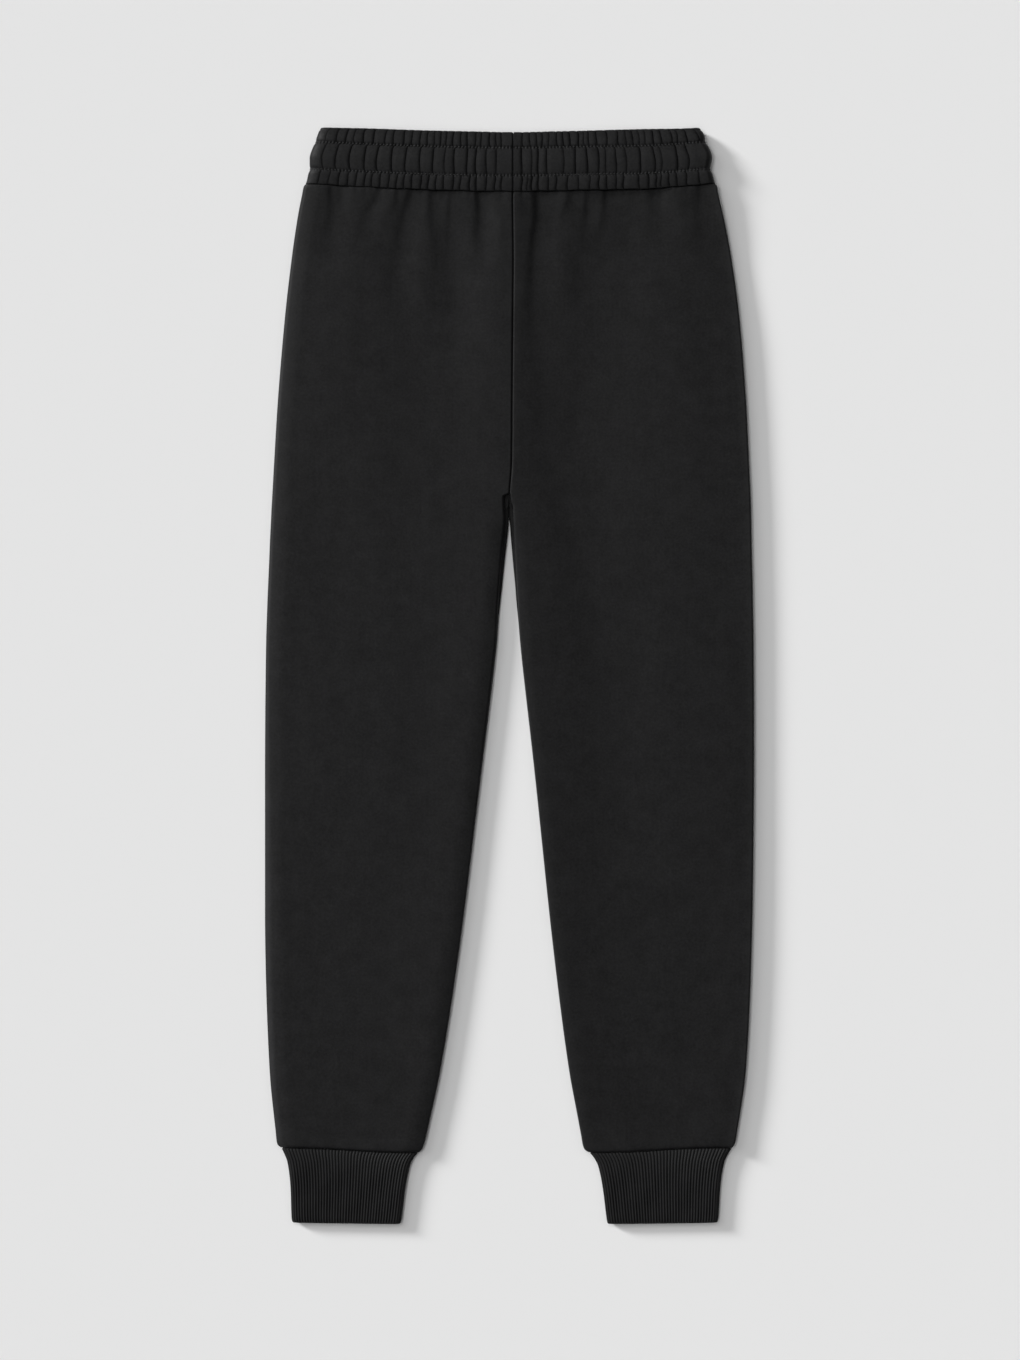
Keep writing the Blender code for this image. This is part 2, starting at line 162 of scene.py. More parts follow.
# The edges of a laid leg: how much higher they stand than its middle, a soft fall over "width", then a
# firm roll to the seam, which becomes "low_roll" towards the ankle. A negative fall is an edge that
# stands up. A leg's back sinks onto its front out to "hollow" from its inner edge, at most by "sink".
Edge = namedtuple("Edge", "puff fall width roll low_roll")
Leg = namedtuple("Leg", "name side hollow sink outer inner")
LEGS = (
    Leg("left", -1, 130.0, 0.7, Edge(0.8, 3.3, 17.0, 3.6, 7.5), Edge(0.5, 1.9, 18.0, 2.4, 1.3)),
    Leg("right", 1, 190.0, 1.8, Edge(0.0, -0.7, 10.0, 1.8, 1.8), Edge(0.0, 1.0, 11.0, 1.6, 3.0)),
)
PLAIN_OUTER = Edge(0.0, 0.0, 1.0, 14.0, 14.0)
PLAIN_INNER = Edge(0.0, 0.0, 1.0, 11.0, 11.0)
LOW_ROLLS = Change(450.0, 250.0)
INNER_PUFF = Change(300.0, 150.0)
INNER_FALL = Change(322.0, 60.0)

# How far the back's inseam is drawn back from the outline, from the crotch on, and how far the back and
# the front have turned to it. The front's rim fills the outline where the back is drawn back a lot.
Inseam = namedtuple("Inseam", "down left right turn front_turn")
INSEAM = (
    Inseam(326.0, 0.0, 0.0, 0.0, 0.0),
    Inseam(330.2, 0.1, 0.1, 0.0, 0.0),
    Inseam(332.4, 4.2, 0.3, 0.9, 0.0),
    Inseam(337.5, 4.0, 1.9, 1.0, 0.0),
    Inseam(341.5, 3.7, 3.3, 1.0, 0.0),
    Inseam(347.0, 3.4, 3.6, 1.0, 0.8),
    Inseam(355.0, 2.8, 3.3, 1.0, 1.0),
    Inseam(372.0, 2.8, 2.9, 1.0, 1.0),
    Inseam(390.0, 2.5, 2.2, 1.0, 1.0),
    Inseam(408.0, 1.8, 1.5, 1.0, 1.0),
    Inseam(430.0, 1.4, 1.3, 1.0, 1.0),
    Inseam(470.0, 0.8, 0.7, 1.0, 1.0),
    Inseam(600.0, 0.3, 0.3, 1.0, 1.0),
)
RIM_SETBACK = 1.5         # from a turned front panel's edge to the widest of its rim
RIM = Change(0.9, 0.8)    # how far the back is drawn back where the rim widens

# Where a panel's rows change their pitch, and the rows of its plain inner skin.
HIPS_END = 130.0
CROTCH_START = 322.0
CROTCH_END = 352.0
CROTCH_PITCH = 0.9
SEAM_ROWS = (6.0, 9)      # width and number of the close rows at the waist seam, and at the hem
HEM_ROWS = (14.0, 17)
ROWS_CLOSER = 1.5         # how much closer they come at the edge, as a power
COLUMNS_CLOSER = 1.8      # the same for the close columns
SEAT_COARSER = 1.5        # how much further apart the rows below the hips are
LEG_COARSER = 2.6         # and those below the crotch
CROTCH_ROWS = (331.0, 334.0, 342.0, 348.0)
PLAIN_ROWS = (60.0, 905.0, 30.0)
FLAT_WIDTH = 180.0        # about how wide a panel is between its edges
EDGE_COLUMNS = 20         # close columns at each of its edges
EDGE_SPARE = 1.0          # how far they go on beyond where the edge rounds over
FRONT_COARSER = 1.8       # how much further apart the rows and columns of the hidden fronts are
PLAIN_COLUMNS = (10, 4)   # columns of a panel's plain inner skin between its edges, and at each

# Soft folds over the back, from the gathers down. Along its path of (x, down) points, the cloth steps
# down to the right by "depth" over a "width" that grows to "spread", and comes back up over "reach".
Fold = namedtuple("Fold", "side depth width spread reach path")
SEAM_FOLDS = 60.0         # a fold that starts above this comes out of the waist seam
SEAM_FOLD_FADE = 0.85     # share of its length over which such a fold fades out
FREE_FOLD_FADE = 0.75     # the same for any other fold
FREE_FOLD_LEAD = 30.0     # how far above its path it comes in
FOLD_FIRM = 0.75          # share of a fold's step that is firm, while the rest is softer
FRONT_FOLD_LIMIT = 1.6
BACK_FOLDS = (
    Fold(-1, 1.2, 1.6, 7.0, 24.0, ((-163, 52), (-163, 74), (-168, 101), (-172, 160))),
    Fold(-1, 0.5, 1.2, 4.0, 8.0, ((-153, 52), (-155, 62), (-157, 84))),
    Fold(-1, 1.0, 1.6, 6.0, 16.0, ((-121, 52), (-124, 62), (-133, 78), (-140, 112))),
    Fold(-1, 0.6, 1.2, 4.0, 10.0, ((-103, 52), (-104, 62), (-106, 82))),
    Fold(-1, 2.0, 1.6, 9.0, 24.0, ((-92, 52), (-94, 60), (-98, 76), (-103, 101), (-108, 135),
                                   (-106, 210))),
    Fold(-1, 0.7, 9.0, 16.0, 60.0, ((-104, 66), (-112, 110), (-110, 180), (-104, 260), (-98, 420))),
    Fold(-1, 2.3, 1.5, 13.0, 36.0, ((-72, 52), (-73, 74), (-68, 101), (-66, 135), (-72, 190), (-82, 250))),
    Fold(-1, 1.5, 1.5, 10.0, 40.0, ((-56, 70), (-57, 80), (-58, 101), (-56, 150), (-58, 290))),
    Fold(-1, 2.9, 1.4, 6.0, 20.0, ((-31, 52), (-30, 74), (-32, 101), (-32, 150))),
    Fold(-1, 0.7, 1.2, 4.0, 12.0, ((-12, 52), (-13, 62), (-14, 86))),
    Fold(-1, -1.0, 14.0, 18.0, 70.0, ((-168, 140), (-174, 200), (-178, 300), (-178, 440))),
    Fold(1, 0.3, 1.2, 4.0, 12.0, ((9, 52), (9, 62), (9, 80))),
    Fold(1, 3.8, 1.5, 6.5, 30.0, ((21, 52), (22, 74), (19, 101), (17, 135), (16, 190), (19, 250))),
    Fold(1, 1.9, 9.0, 15.0, 90.0, ((20, 170), (20, 245), (26, 300), (42, 360), (56, 420), (66, 480),
                                   (74, 560), (82, 650), (88, 760))),
    Fold(1, 1.6, 2.2, 11.0, 40.0, ((52, 58), (50, 64), (46, 76), (44, 101), (47, 135), (50, 190))),
    Fold(1, 1.8, 1.5, 11.0, 26.0, ((67, 68), (66, 78), (62, 101), (58, 150), (54, 200))),
    Fold(1, 3.8, 1.5, 14.0, 52.0, ((84, 52), (84, 74), (77, 101), (70, 135), (64, 190), (62, 240))),
    Fold(1, 1.6, 8.0, 13.0, 95.0, ((68, 120), (62, 190), (60, 260), (66, 400))),
    Fold(1, 0.6, 1.2, 3.0, 8.0, ((91, 52), (90, 62), (87, 78))),
    Fold(1, 0.5, 2.0, 6.0, 12.0, ((108, 56), (106, 74), (102, 100))),
    Fold(1, 0.8, 4.0, 7.0, 30.0, ((116, 66), (116, 80), (122, 110), (124, 150))),
    Fold(1, 1.9, 1.5, 9.0, 24.0, ((126, 52), (126, 62), (127, 76), (128, 120))),
    Fold(1, 0.7, 1.2, 3.0, 8.0, ((133, 52), (132, 62), (130, 78))),
    Fold(1, 1.0, 1.8, 7.0, 22.0, ((168, 52), (167, 74), (167, 101), (168, 150))),
    Fold(1, 0.8, 9.0, 12.0, 30.0, ((180, 110), (188, 142), (190, 190))),
)
# The same on the hidden front, which is creased less because it rests flat.
FRONT_FOLDS = (
    Fold(-1, 0.9, 2.0, 6.0, 20.0, ((-140, 52), (-148, 80), (-150, 122))),
    Fold(-1, 1.1, 2.0, 7.0, 24.0, ((-84, 52), (-90, 82), (-95, 130), (-96, 190))),
    Fold(-1, 0.9, 2.0, 6.0, 20.0, ((-46, 52), (-44, 85), (-48, 138))),
    Fold(-1, 0.7, 9.0, 14.0, 40.0, ((-60, 300), (-74, 380), (-86, 490))),
    Fold(1, 1.0, 2.0, 6.0, 20.0, ((38, 52), (36, 84), (42, 150))),
    Fold(1, 1.1, 2.0, 8.0, 24.0, ((98, 52), (92, 90), (88, 150), (90, 210))),
    Fold(1, 0.8, 2.0, 5.0, 18.0, ((150, 52), (154, 78), (158, 110))),
    Fold(1, 0.7, 9.0, 14.0, 40.0, ((52, 310), (66, 390), (80, 500))),
)

# The waistband's outline: three puffed strips, drawn in by two rows of stitching. "down" is at the
# sides, and "dip" is how much lower the row is at the centre.
Row = namedtuple("Row", "down dip left right height")
WAISTBAND = (
    Row(0.0, 5.4, -167.0, 167.0, 10.6),
    Row(2.2, 5.3, -170.6, 172.4, 11.6),
    Row(7.0, 5.1, -172.8, 175.4, 13.3),
    Row(11.2, 5.0, -174.0, 175.8, 13.7),
    Row(STITCH_ROWS[0], 4.9, -174.2, 175.9, 13.4),
    Row(16.5, 4.9, -176.2, 178.6, 13.8),
    Row(26.0, 5.1, -179.6, 182.1, 14.6),
    Row(34.0, 5.5, -179.8, 180.9, 14.1),
    Row(STITCH_ROWS[1], 5.8, -179.3, 180.3, 13.6),
    Row(41.5, 6.1, -180.9, 182.5, 13.6),
    Row(47.6, 6.5, -182.3, 184.1, 13.0),
    Row(BAND_DEPTH, 6.6, -183.5, 184.9, 12.4),
)
# Where the waist edge hangs lower than its curve, as (x, drop, width) rows, fading out above the stitches.
EDGE_DROPS = ((-172.0, 1.5, 32.0), (5.0, 0.6, 26.0), (166.0, 1.8, 38.0))
BAND_ROLL = 11.0          # radius of the band's fold at its left side, across
BAND_RIGHT_ROLL = 6.0     # and at its right side
BAND_FULLEST = 26.0       # where the middle strip is puffed out the most
BAND_HOLLOW = 3.6         # between the band's back and front, inside
BAND_PLAIN_ROWS = (4.0, 12.0, 26.0, 38.0)
BAND_INNER_END = 0.2      # from its inner skin's last row to the waist seam
BAND_FOLD = 2.0           # radius of the fold along the waist edge
BAND_FOLD_TURN = QUARTER * 1.7    # and how far it turns, from the band's face to its inside
BAND_HEM = 0.4            # radius of the band's edge at the waist seam
BAND_HEM_WALL = 2.6       # how thick the band is there, above the legs' edge
BAND_GROOVE = Groove(1.5, 1.8)
BAND_SEAM_STEEP = 2.5     # how much narrower the groove's right side is
BAND_DEEPEST = 3.2        # what gathers, grooves and holes together come close to and never pass
PINCH_REACH = 1.6         # how far from a row of stitches the band is drawn in
HOLE_DEPTH = 0.95         # how deep the needle holes are
HOLE_REACH = 0.75         # and how far from their row they reach
STITCH_MARGIN = 1.0       # from the centre-back seam to the first stitch
STITCH_RISE = 0.55        # how high a stitch stands at its middle, above its ends
STITCH_SINK = 0.25        # how deep its ends lie
STITCH_STEPS = 7
STITCH_TAPER = (0.12, 0.88)       # the part of a half circle that a stitch's thickness follows
THREAD_SIDES = 8

# Gathers of each puffed strip, as (x, depth) pairs. "tilt" leans a gather outwards in step with its
# distance from the centre, and "shift" leans them all.
Strip = namedtuple("Strip", "start end tilt shift at_start at_end gathers")
STRIPS = (
    Strip(0.0, STITCH_ROWS[0], -0.006, 0.0, 0.55, 0.5, (
        (-165, 0.5), (-156, 0.8), (-147, 1.1), (-140.5, 0.5), (-131.5, 1.1), (-123, 1.2), (-112, 0.8),
        (-105, 0.8), (-95.5, 1.1), (-88.5, 0.8), (-81, 0.8), (-74.5, 0.8), (-68.5, 0.5), (-63, 0.8),
        (-58, 0.7), (-51.5, 1.1), (-44.5, 0.8), (-39, 1.1), (-31.5, 0.7), (-26.5, 0.8), (-18.5, 1.1),
        (-13, 0.7), (-8.5, 0.8), (10.5, 0.8), (17, 0.7), (23, 0.8), (28, 0.8), (34, 0.5), (41.5, 0.8),
        (47, 0.8), (53, 1.1), (61, 1.1), (65.5, 0.5), (70, 0.8), (77, 0.8), (86.5, 0.8), (96.5, 0.8),
        (103.5, 0.5), (109.5, 0.7), (115, 0.5), (120.5, 0.5), (128, 1.1), (135, 0.8), (144.5, 0.8),
        (149.5, 0.7), (158, 1.2), (168, 0.8))),
    Strip(*STITCH_ROWS, -0.014, 0.2, 0.45, 0.5, (
        (-169, 0.5), (-157, 0.9), (-144, 1.1), (-131, 1.1), (-119.5, 1.3), (-107, 1.2), (-94.5, 1.1),
        (-81.5, 0.9), (-70, 1.2), (-59.5, 0.5), (-50.5, 1.1), (-39, 1.3), (-31, 1.6), (-22, 0.8),
        (-13, 0.7), (10, 1.2), (18.5, 0.5), (25, 1.7), (32.5, 0.9), (47.5, 0.5), (58.5, 1.2), (69, 1.2),
        (79, 0.9), (85.5, 0.5), (95, 0.8), (103.5, 0.5), (117, 1.3), (129.5, 0.9), (135.5, 0.4),
        (150, 1.3), (160, 0.9))),
    Strip(STITCH_ROWS[1], BAND_DEPTH, 0.0, 1.3, 0.5, 0.75, (
        (-172, 0.5), (-163, 0.4), (-154, 0.8), (-146, 0.7), (-139, 0.8), (-130.5, 0.8), (-124.5, 0.7),
        (-117, 0.8), (-109.5, 0.7), (-102, 0.8), (-95.5, 0.7), (-88.5, 0.9), (-80.5, 0.8), (-73.5, 1.1),
        (-67, 0.7), (-60, 0.8), (-51.5, 0.9), (-45, 0.7), (-36.5, 1.1), (-30.5, 1.2), (-22, 0.8),
        (-14, 1.1), (-8, 0.8), (10, 1.1), (15, 0.5), (19.5, 1.6), (25, 1.2), (34, 0.7), (41, 0.8),
        (51, 0.8), (61, 0.5), (71, 0.5), (79.5, 1.1), (86.5, 0.8), (94.5, 0.7), (101.5, 1.1),
        (115.5, 0.8), (124, 1.1), (131, 0.8), (135, 0.6), (142.5, 0.8), (149, 0.7), (158, 0.8),
        (169.5, 0.7))),
)
CREASE_SHIFT = 1.6        # the bottom of a crease or fold lies this far right of its darkest line
CREASE_FALL = 0.9         # a gather's cloth falls to the right over this, most of it
CREASE_SWELL = 2.2        # and the rest over this, on both sides
CREASE_SHARE = 0.84
CREASE_OVERLAP = 0.25     # how far a gather's other side is folded over it, fading out over
OVERLAP_FADE = 1.3
COLUMNS_BEFORE = 24       # how many of the mesh's columns on each side a gather can reach
COLUMNS_AFTER = 16
CREASE_STRAIGHT = 0.8     # how much of the outline's bow between two stitch rows the gathers leave out
STRAIGHT_END = 172.0      # out to here, from the centre
SEAM_HELD = 4.0           # how near the centre-back seam the cloth is held straight
GATHERS_AT_EDGE = 0.6     # how deep the gathers are along the band's edges, against its face
UNDERSIDE_GATHERS = 0.5   # how deep the gathers are where the band rests, against its upper side
UNDERSIDE_PINCH = 0.55    # how much further in the stitches draw the band there, clear of the surface
PUCKER_DEPTH = 0.3        # how deep the last strip's gathers run on into the legs
PUCKER_WIDTH = 1.8
PUCKER_REACH = 6.0        # and how far

# Each cuff's outline from its outer edge to its inseam, below the leg's hem.
Cuff = namedtuple("Cuff", "down outer inner height")
LEFT_CUFF = (
    Cuff(0.0, -205.6, -81.6, 7.4),
    Cuff(5.0, -203.2, -85.8, 7.8),
    Cuff(13.0, -200.2, -89.4, 8.0),
    Cuff(33.0, -197.6, -93.2, 8.0),
    Cuff(64.5, -196.4, -97.0, 7.8),
    Cuff(68.7, -195.4, -98.0, 7.4),
)
RIGHT_CUFF = (
    Cuff(0.0, 200.4, 71.6, 7.4),
    Cuff(5.0, 197.4, 75.6, 7.8),
    Cuff(13.0, 193.7, 79.4, 8.0),
    Cuff(33.0, 190.3, 83.4, 8.0),
    Cuff(64.5, 188.2, 87.2, 7.8),
    Cuff(68.7, 187.4, 88.2, 7.4),
)
CUFF_ROLL = 7.0           # radius of a cuff's folds at its sides
CUFF_HOLLOW = 2.6         # between its back and front, inside
CUFF_TOP = 0.1            # how far below the hem its face begins
CUFF_MIDDLE = 33.0
CUFF_PLAIN_ROWS = (6.0, 34.0)
CUFF_PLAIN_END = 3.6      # from its inner skin's last row to the ankle edge
CUFF_HEM = 0.8            # radius of the cuff's edge at the hem seam
UNDERLAP_INSET = 2.1      # how far the cuff is drawn in where it runs into the leg
UNDERLAP_WALL = 0.5       # and how thick it is there
CUFF_FOLD = 2.2           # radius of the fold along the ankle edge
CUFF_FOLD_TURN = QUARTER * 1.6    # and how far it turns, from the cuff's face to its inside
CUFF_CURVE = 1.3          # how much higher the ankle edge lies at its outer end
CUFF_LIFT = 0.1           # and all along
RIB_VALLEY = 0.24         # how wide the valley between two ribs is, as a share of their pitch
RIBS_OPEN = 30.0          # over this the ribs deepen, from a share of their depth at the hem seam
RIBS_AT_HEM = 0.6
RIBS_AT_EDGE = 0.5        # how deep they are round the ankle edge, against the cuff's face
SLIT_ROLL = 1.0           # radius of the cuff's edges at the inseam
CUFF_ROUND = 200.0        # about how far it is round a cuff


# Settings

class WaistbandSettings(bpy.types.PropertyGroup):
    gather_depth: FloatProperty(
        name="Gather Depth", description="How deep an ordinary gather is drawn in",
        default=0.0016, min=0.0, max=0.003, unit="LENGTH")
    pinch: FloatProperty(
        name="Stitch Pinch", description="How far each row of stitching draws the band in",
        default=0.0002, min=0.0, max=0.0015, unit="LENGTH")
    column_pitch: FloatProperty(
        name="Column Pitch", description="Distance between the mesh's columns over the back",
        default=0.00048, min=0.0003, max=0.003, unit="LENGTH")
    row_pitch: FloatProperty(
        name="Row Pitch", description="Distance between the mesh's rows",
        default=0.0009, min=0.0004, max=0.004, unit="LENGTH")
    stitch_pitch: FloatProperty(
        name="Stitch Pitch", description="Length of one stitch and its gap",
        default=0.00305, min=0.002, max=0.006, unit="LENGTH")
    stitch_length: FloatProperty(
        name="Stitch Length", description="How much thread shows between two needle holes",
        default=0.0017, min=0.001, max=0.005, unit="LENGTH")
    thread_radius: FloatProperty(
        name="Thread Radius", description="Radius of the sewing thread",
        default=0.00042, min=0.0001, max=0.001, unit="LENGTH")


class LegSettings(bpy.types.PropertyGroup):
    fold_depth: FloatProperty(
        name="Fold Depth", description="Share of the drawn depth that the soft folds have",
        default=1.0, min=0.0, max=1.3, subtype="FACTOR")
    column_pitch: FloatProperty(
        name="Column Pitch", description="Distance between the back panels' columns",
        default=0.0015, min=0.0008, max=0.01, unit="LENGTH")
    row_pitch: FloatProperty(
        name="Row Pitch", description="Distance between the back panels' rows in the hips",
        default=0.0017, min=0.0008, max=0.01, unit="LENGTH")


class CuffSettings(bpy.types.PropertyGroup):
    rib_count: IntProperty(
        name="Ribs", description="Ribs round a whole cuff",
        default=84, min=20, max=140)
    rib_depth: FloatProperty(
        name="Rib Depth", description="How deep the valleys between the ribs are",
        default=0.0009, min=0.0, max=0.0015, unit="LENGTH")
    rib_columns: IntProperty(
        name="Columns to a Rib", description="Mesh columns across each rib",
        default=10, min=2, max=16)
    row_pitch: FloatProperty(
        name="Row Pitch", description="Distance between the mesh's rows",
        default=0.0018, min=0.0008, max=0.01, unit="LENGTH")


class FinishSettings(bpy.types.PropertyGroup):
    fleece: FloatVectorProperty(
        name="Fleece", description="Colour of the legs' brushed jersey",
        default=(0.0091, 0.0091, 0.0094), min=0.0, max=1.0, subtype="COLOR")
    band: FloatVectorProperty(
        name="Waistband", description="Colour of the waistband's jersey",
        default=(0.0098, 0.0098, 0.0101), min=0.0, max=1.0, subtype="COLOR")
    rib: FloatVectorProperty(
        name="Rib Knit", description="Colour of the cuffs",
        default=(0.0102, 0.0102, 0.0105), min=0.0, max=1.0, subtype="COLOR")
    thread: FloatVectorProperty(
        name="Thread", description="Colour of the sewing thread",
        default=(0.02, 0.02, 0.0208), min=0.0, max=1.0, subtype="COLOR")
    sheen: FloatProperty(
        name="Sheen", description="How much the raised nap catches the light",
        default=0.05, min=0.0, max=1.0, subtype="FACTOR")


class StageSettings(bpy.types.PropertyGroup):
    floor: FloatVectorProperty(
        name="Floor", description="Colour of the surface the garment lies on",
        default=(0.80, 0.80, 0.80), min=0.0, max=1.0, subtype="COLOR")
    light: FloatProperty(
        name="Light", description="Strength of all the lights together",
        default=2.93, min=0.0, max=20.0)
    lens: FloatProperty(
        name="Lens", description="Focal length of the camera, in millimetres",
        default=85.0, min=20.0, max=300.0)
    view_height: FloatProperty(
        name="View Height", description="How much of the garment's length the camera takes in",
        default=1.224, min=0.2, max=3.0, unit="LENGTH")


SETTINGS = {
    "waistband": WaistbandSettings,
    "legs": LegSettings,
    "cuffs": CuffSettings,
    "finish": FinishSettings,
    "stage": StageSettings,
}


class GarmentSettings(bpy.types.PropertyGroup):
    waistband: PointerProperty(type=WaistbandSettings)
    legs: PointerProperty(type=LegSettings)
    cuffs: PointerProperty(type=CuffSettings)
    finish: PointerProperty(type=FinishSettings)
    stage: PointerProperty(type=StageSettings)


# Values between the rows of a table

def smooth_through(places, values, at):
    """Values at the places asked for, on a smooth curve that doesn't overshoot its points."""
    places = np.asarray(places, float)
    values = np.asarray(values, float)
    slopes = np.gradient(values)
    slopes[1:-1] = (values[2:] - values[:-2]) / (places[2:] - places[:-2])
    slopes[0] = (values[1] - values[0]) / (places[1] - places[0])
    slopes[-1] = (values[-1] - values[-2]) / (places[-1] - places[-2])
    at = np.clip(at, places[0], places[-1])
    index = np.clip(np.searchsorted(places, at, side="right") - 1, 0, len(places) - 2)
    span = places[index + 1] - places[index]
    part = (at - places[index]) / span
    start, end = values[index], values[index + 1]
    value = (start * (1 + 2 * part) * (1 - part) ** 2 + span * slopes[index] * part * (1 - part) ** 2
             + end * part ** 2 * (3 - 2 * part) + span * slopes[index + 1] * part ** 2 * (part - 1))
    return np.clip(value, np.minimum(start, end), np.maximum(start, end))


def read(rows, column, down):
    """A table's column at distances down."""
    return smooth_through([row.down for row in rows], [getattr(row, column) for row in rows], down)


def ease(part):
    """A smooth rise from 0 to 1."""
    part = np.clip(part, 0.0, 1.0)
    return part * part * (3 - 2 * part)


def after(change, at):
    """A smooth rise from 0 to 1 from the place of a change on."""
    return ease((at - change.place) / change.over)


def before(change, at):
    """A smooth fall from 1 to 0 up to the place of a change."""
    return ease((change.place - at) / change.over)


def within(span, at):
    """1 inside a span, with soft ends, and 0 outside it."""
    return after(Change(span.start, span.rise), at) * before(Change(span.end, span.fall), at)


def bell(distance, width):
    """1 at the middle, fading out over a width."""
    return np.exp(-(distance / width) ** 2)


def stepped(distance, width):
    """A soft step from 0 to 1."""
    return 0.5 + 0.5 * np.tanh(distance / width)


def rolled(distance, radius):
    """How far an edge has rounded over, at a distance from it."""
    part = np.clip(1 - distance / radius, 0.0, 1.0)
    return radius * (1 - np.sqrt(1 - part ** 2))


def sunk_at(groove, distance):
    """How far a sewn edge has sunk, at a distance from the middle of its groove."""
    part = np.clip(1 - distance / groove.width, 0.0, 1.0)
    return groove.depth * (1 - (1 - part ** 1.5) ** (2 / 3))


def spaced(start, end, pitch):
    """Even places from start to end, about a pitch apart."""
    return np.linspace(start, end, max(1, round(abs(end - start) / pitch)) + 1)


# Walls

CLOTH_SHARP = 60.0        # angle between faces from which their edge is sharp, in degrees
THREAD_SHARP = 80.0


def zipped(points, outer, inner):
    """Triangles that close the rim between two edges, which may have different numbers of points."""
    first = second = 0
    faces = []
    while first < len(outer) - 1 or second < len(inner) - 1:
        along_outer = along_inner = math.inf
        if first < len(outer) - 1:
            along_outer = math.dist(points[outer[first + 1]], points[inner[second]])
        if second < len(inner) - 1:
            along_inner = math.dist(points[outer[first]], points[inner[second + 1]])
        if along_outer <= along_inner:
            faces.append((outer[first], outer[first + 1], inner[second]))
            first += 1
        else:
            faces.append((outer[first], inner[second + 1], inner[second]))
            second += 1
    return faces


def piece_from(name, points, faces, material, sharp_angle):
    """A closed piece with its faces pointing out, shaded smooth."""
    data = bpy.data.meshes.new(name)
    data.from_pydata(points, [], faces)
    mesh = bmesh.new()
    mesh.from_mesh(data)
    bmesh.ops.recalc_face_normals(mesh, faces=mesh.faces)
    mesh.to_mesh(data)
    mesh.free()
    data.shade_smooth()
    data.set_sharp_from_angle(angle=math.radians(sharp_angle))
    data.materials.append(material)
    piece = bpy.data.objects.new(name, data)
    bpy.context.scene.collection.objects.link(piece)
    return piece


def wall(name, outer, inner, material):
    """One closed wall of cloth between a fine outer skin and a plainer inner one, both grids of points."""
    points = np.concatenate([outer.reshape(-1, 3), inner.reshape(-1, 3)]) * MM
    faces = []
    numbers = []
    for grid in (outer, inner):
        start = sum(number.size for number in numbers)
        number = start + np.arange(grid.shape[0] * grid.shape[1]).reshape(grid.shape[:2])
        corners = (number[:-1, :-1], number[:-1, 1:], number[1:, 1:], number[1:, :-1])
        faces += np.stack(corners, axis=-1).reshape(-1, 4).tolist()
        numbers.append(number)
    fine, plain = numbers
    places = points.tolist()
    for edge, plain_edge in ((fine[0], plain[0]), (fine[-1], plain[-1]),
                             (fine[:, 0], plain[:, 0]), (fine[:, -1], plain[:, -1])):
        faces += zipped(places, edge.tolist(), plain_edge.tolist())
    return piece_from(name, places, faces, material, CLOTH_SHARP)


def dress(piece, slot, *nodes):
    """A piece that rides with the garment and stands for its nodes."""
    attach(piece, "root")
    if nodes:
        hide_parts(*nodes)
    return piece


# Shader maths

class Signal:
    """A value that runs through a material: one socket, whose arithmetic adds Math nodes."""

    def __init__(self, build, socket):
        self.build = build
        self.socket = socket

    def math(self, operation, *values):
        return self.build.node("ShaderNodeMath", {"operation": operation}, dict(enumerate(values)))

    def __add__(self, other):
        return self.math("ADD", self, other)

    __radd__ = __add__

    def __sub__(self, other):
        return self.math("SUBTRACT", self, other)

    def __rsub__(self, other):
        return self.math("SUBTRACT", other, self)

    def __mul__(self, other):
        return self.math("MULTIPLY", self, other)

    __rmul__ = __mul__

    def __truediv__(self, other):
        return self.math("DIVIDE", self, other)

    def __mod__(self, other):
        return self.math("FLOORED_MODULO", self, other)

    def __pow__(self, other):
        return self.math("POWER", self, other)

    def __abs__(self):
        return self.math("ABSOLUTE", self)

    def sine(self):
        return self.math("SINE", self)

    def beside(self, name):
        """Another output of the same node."""
        return Signal(self.build, self.socket.node.outputs[name])


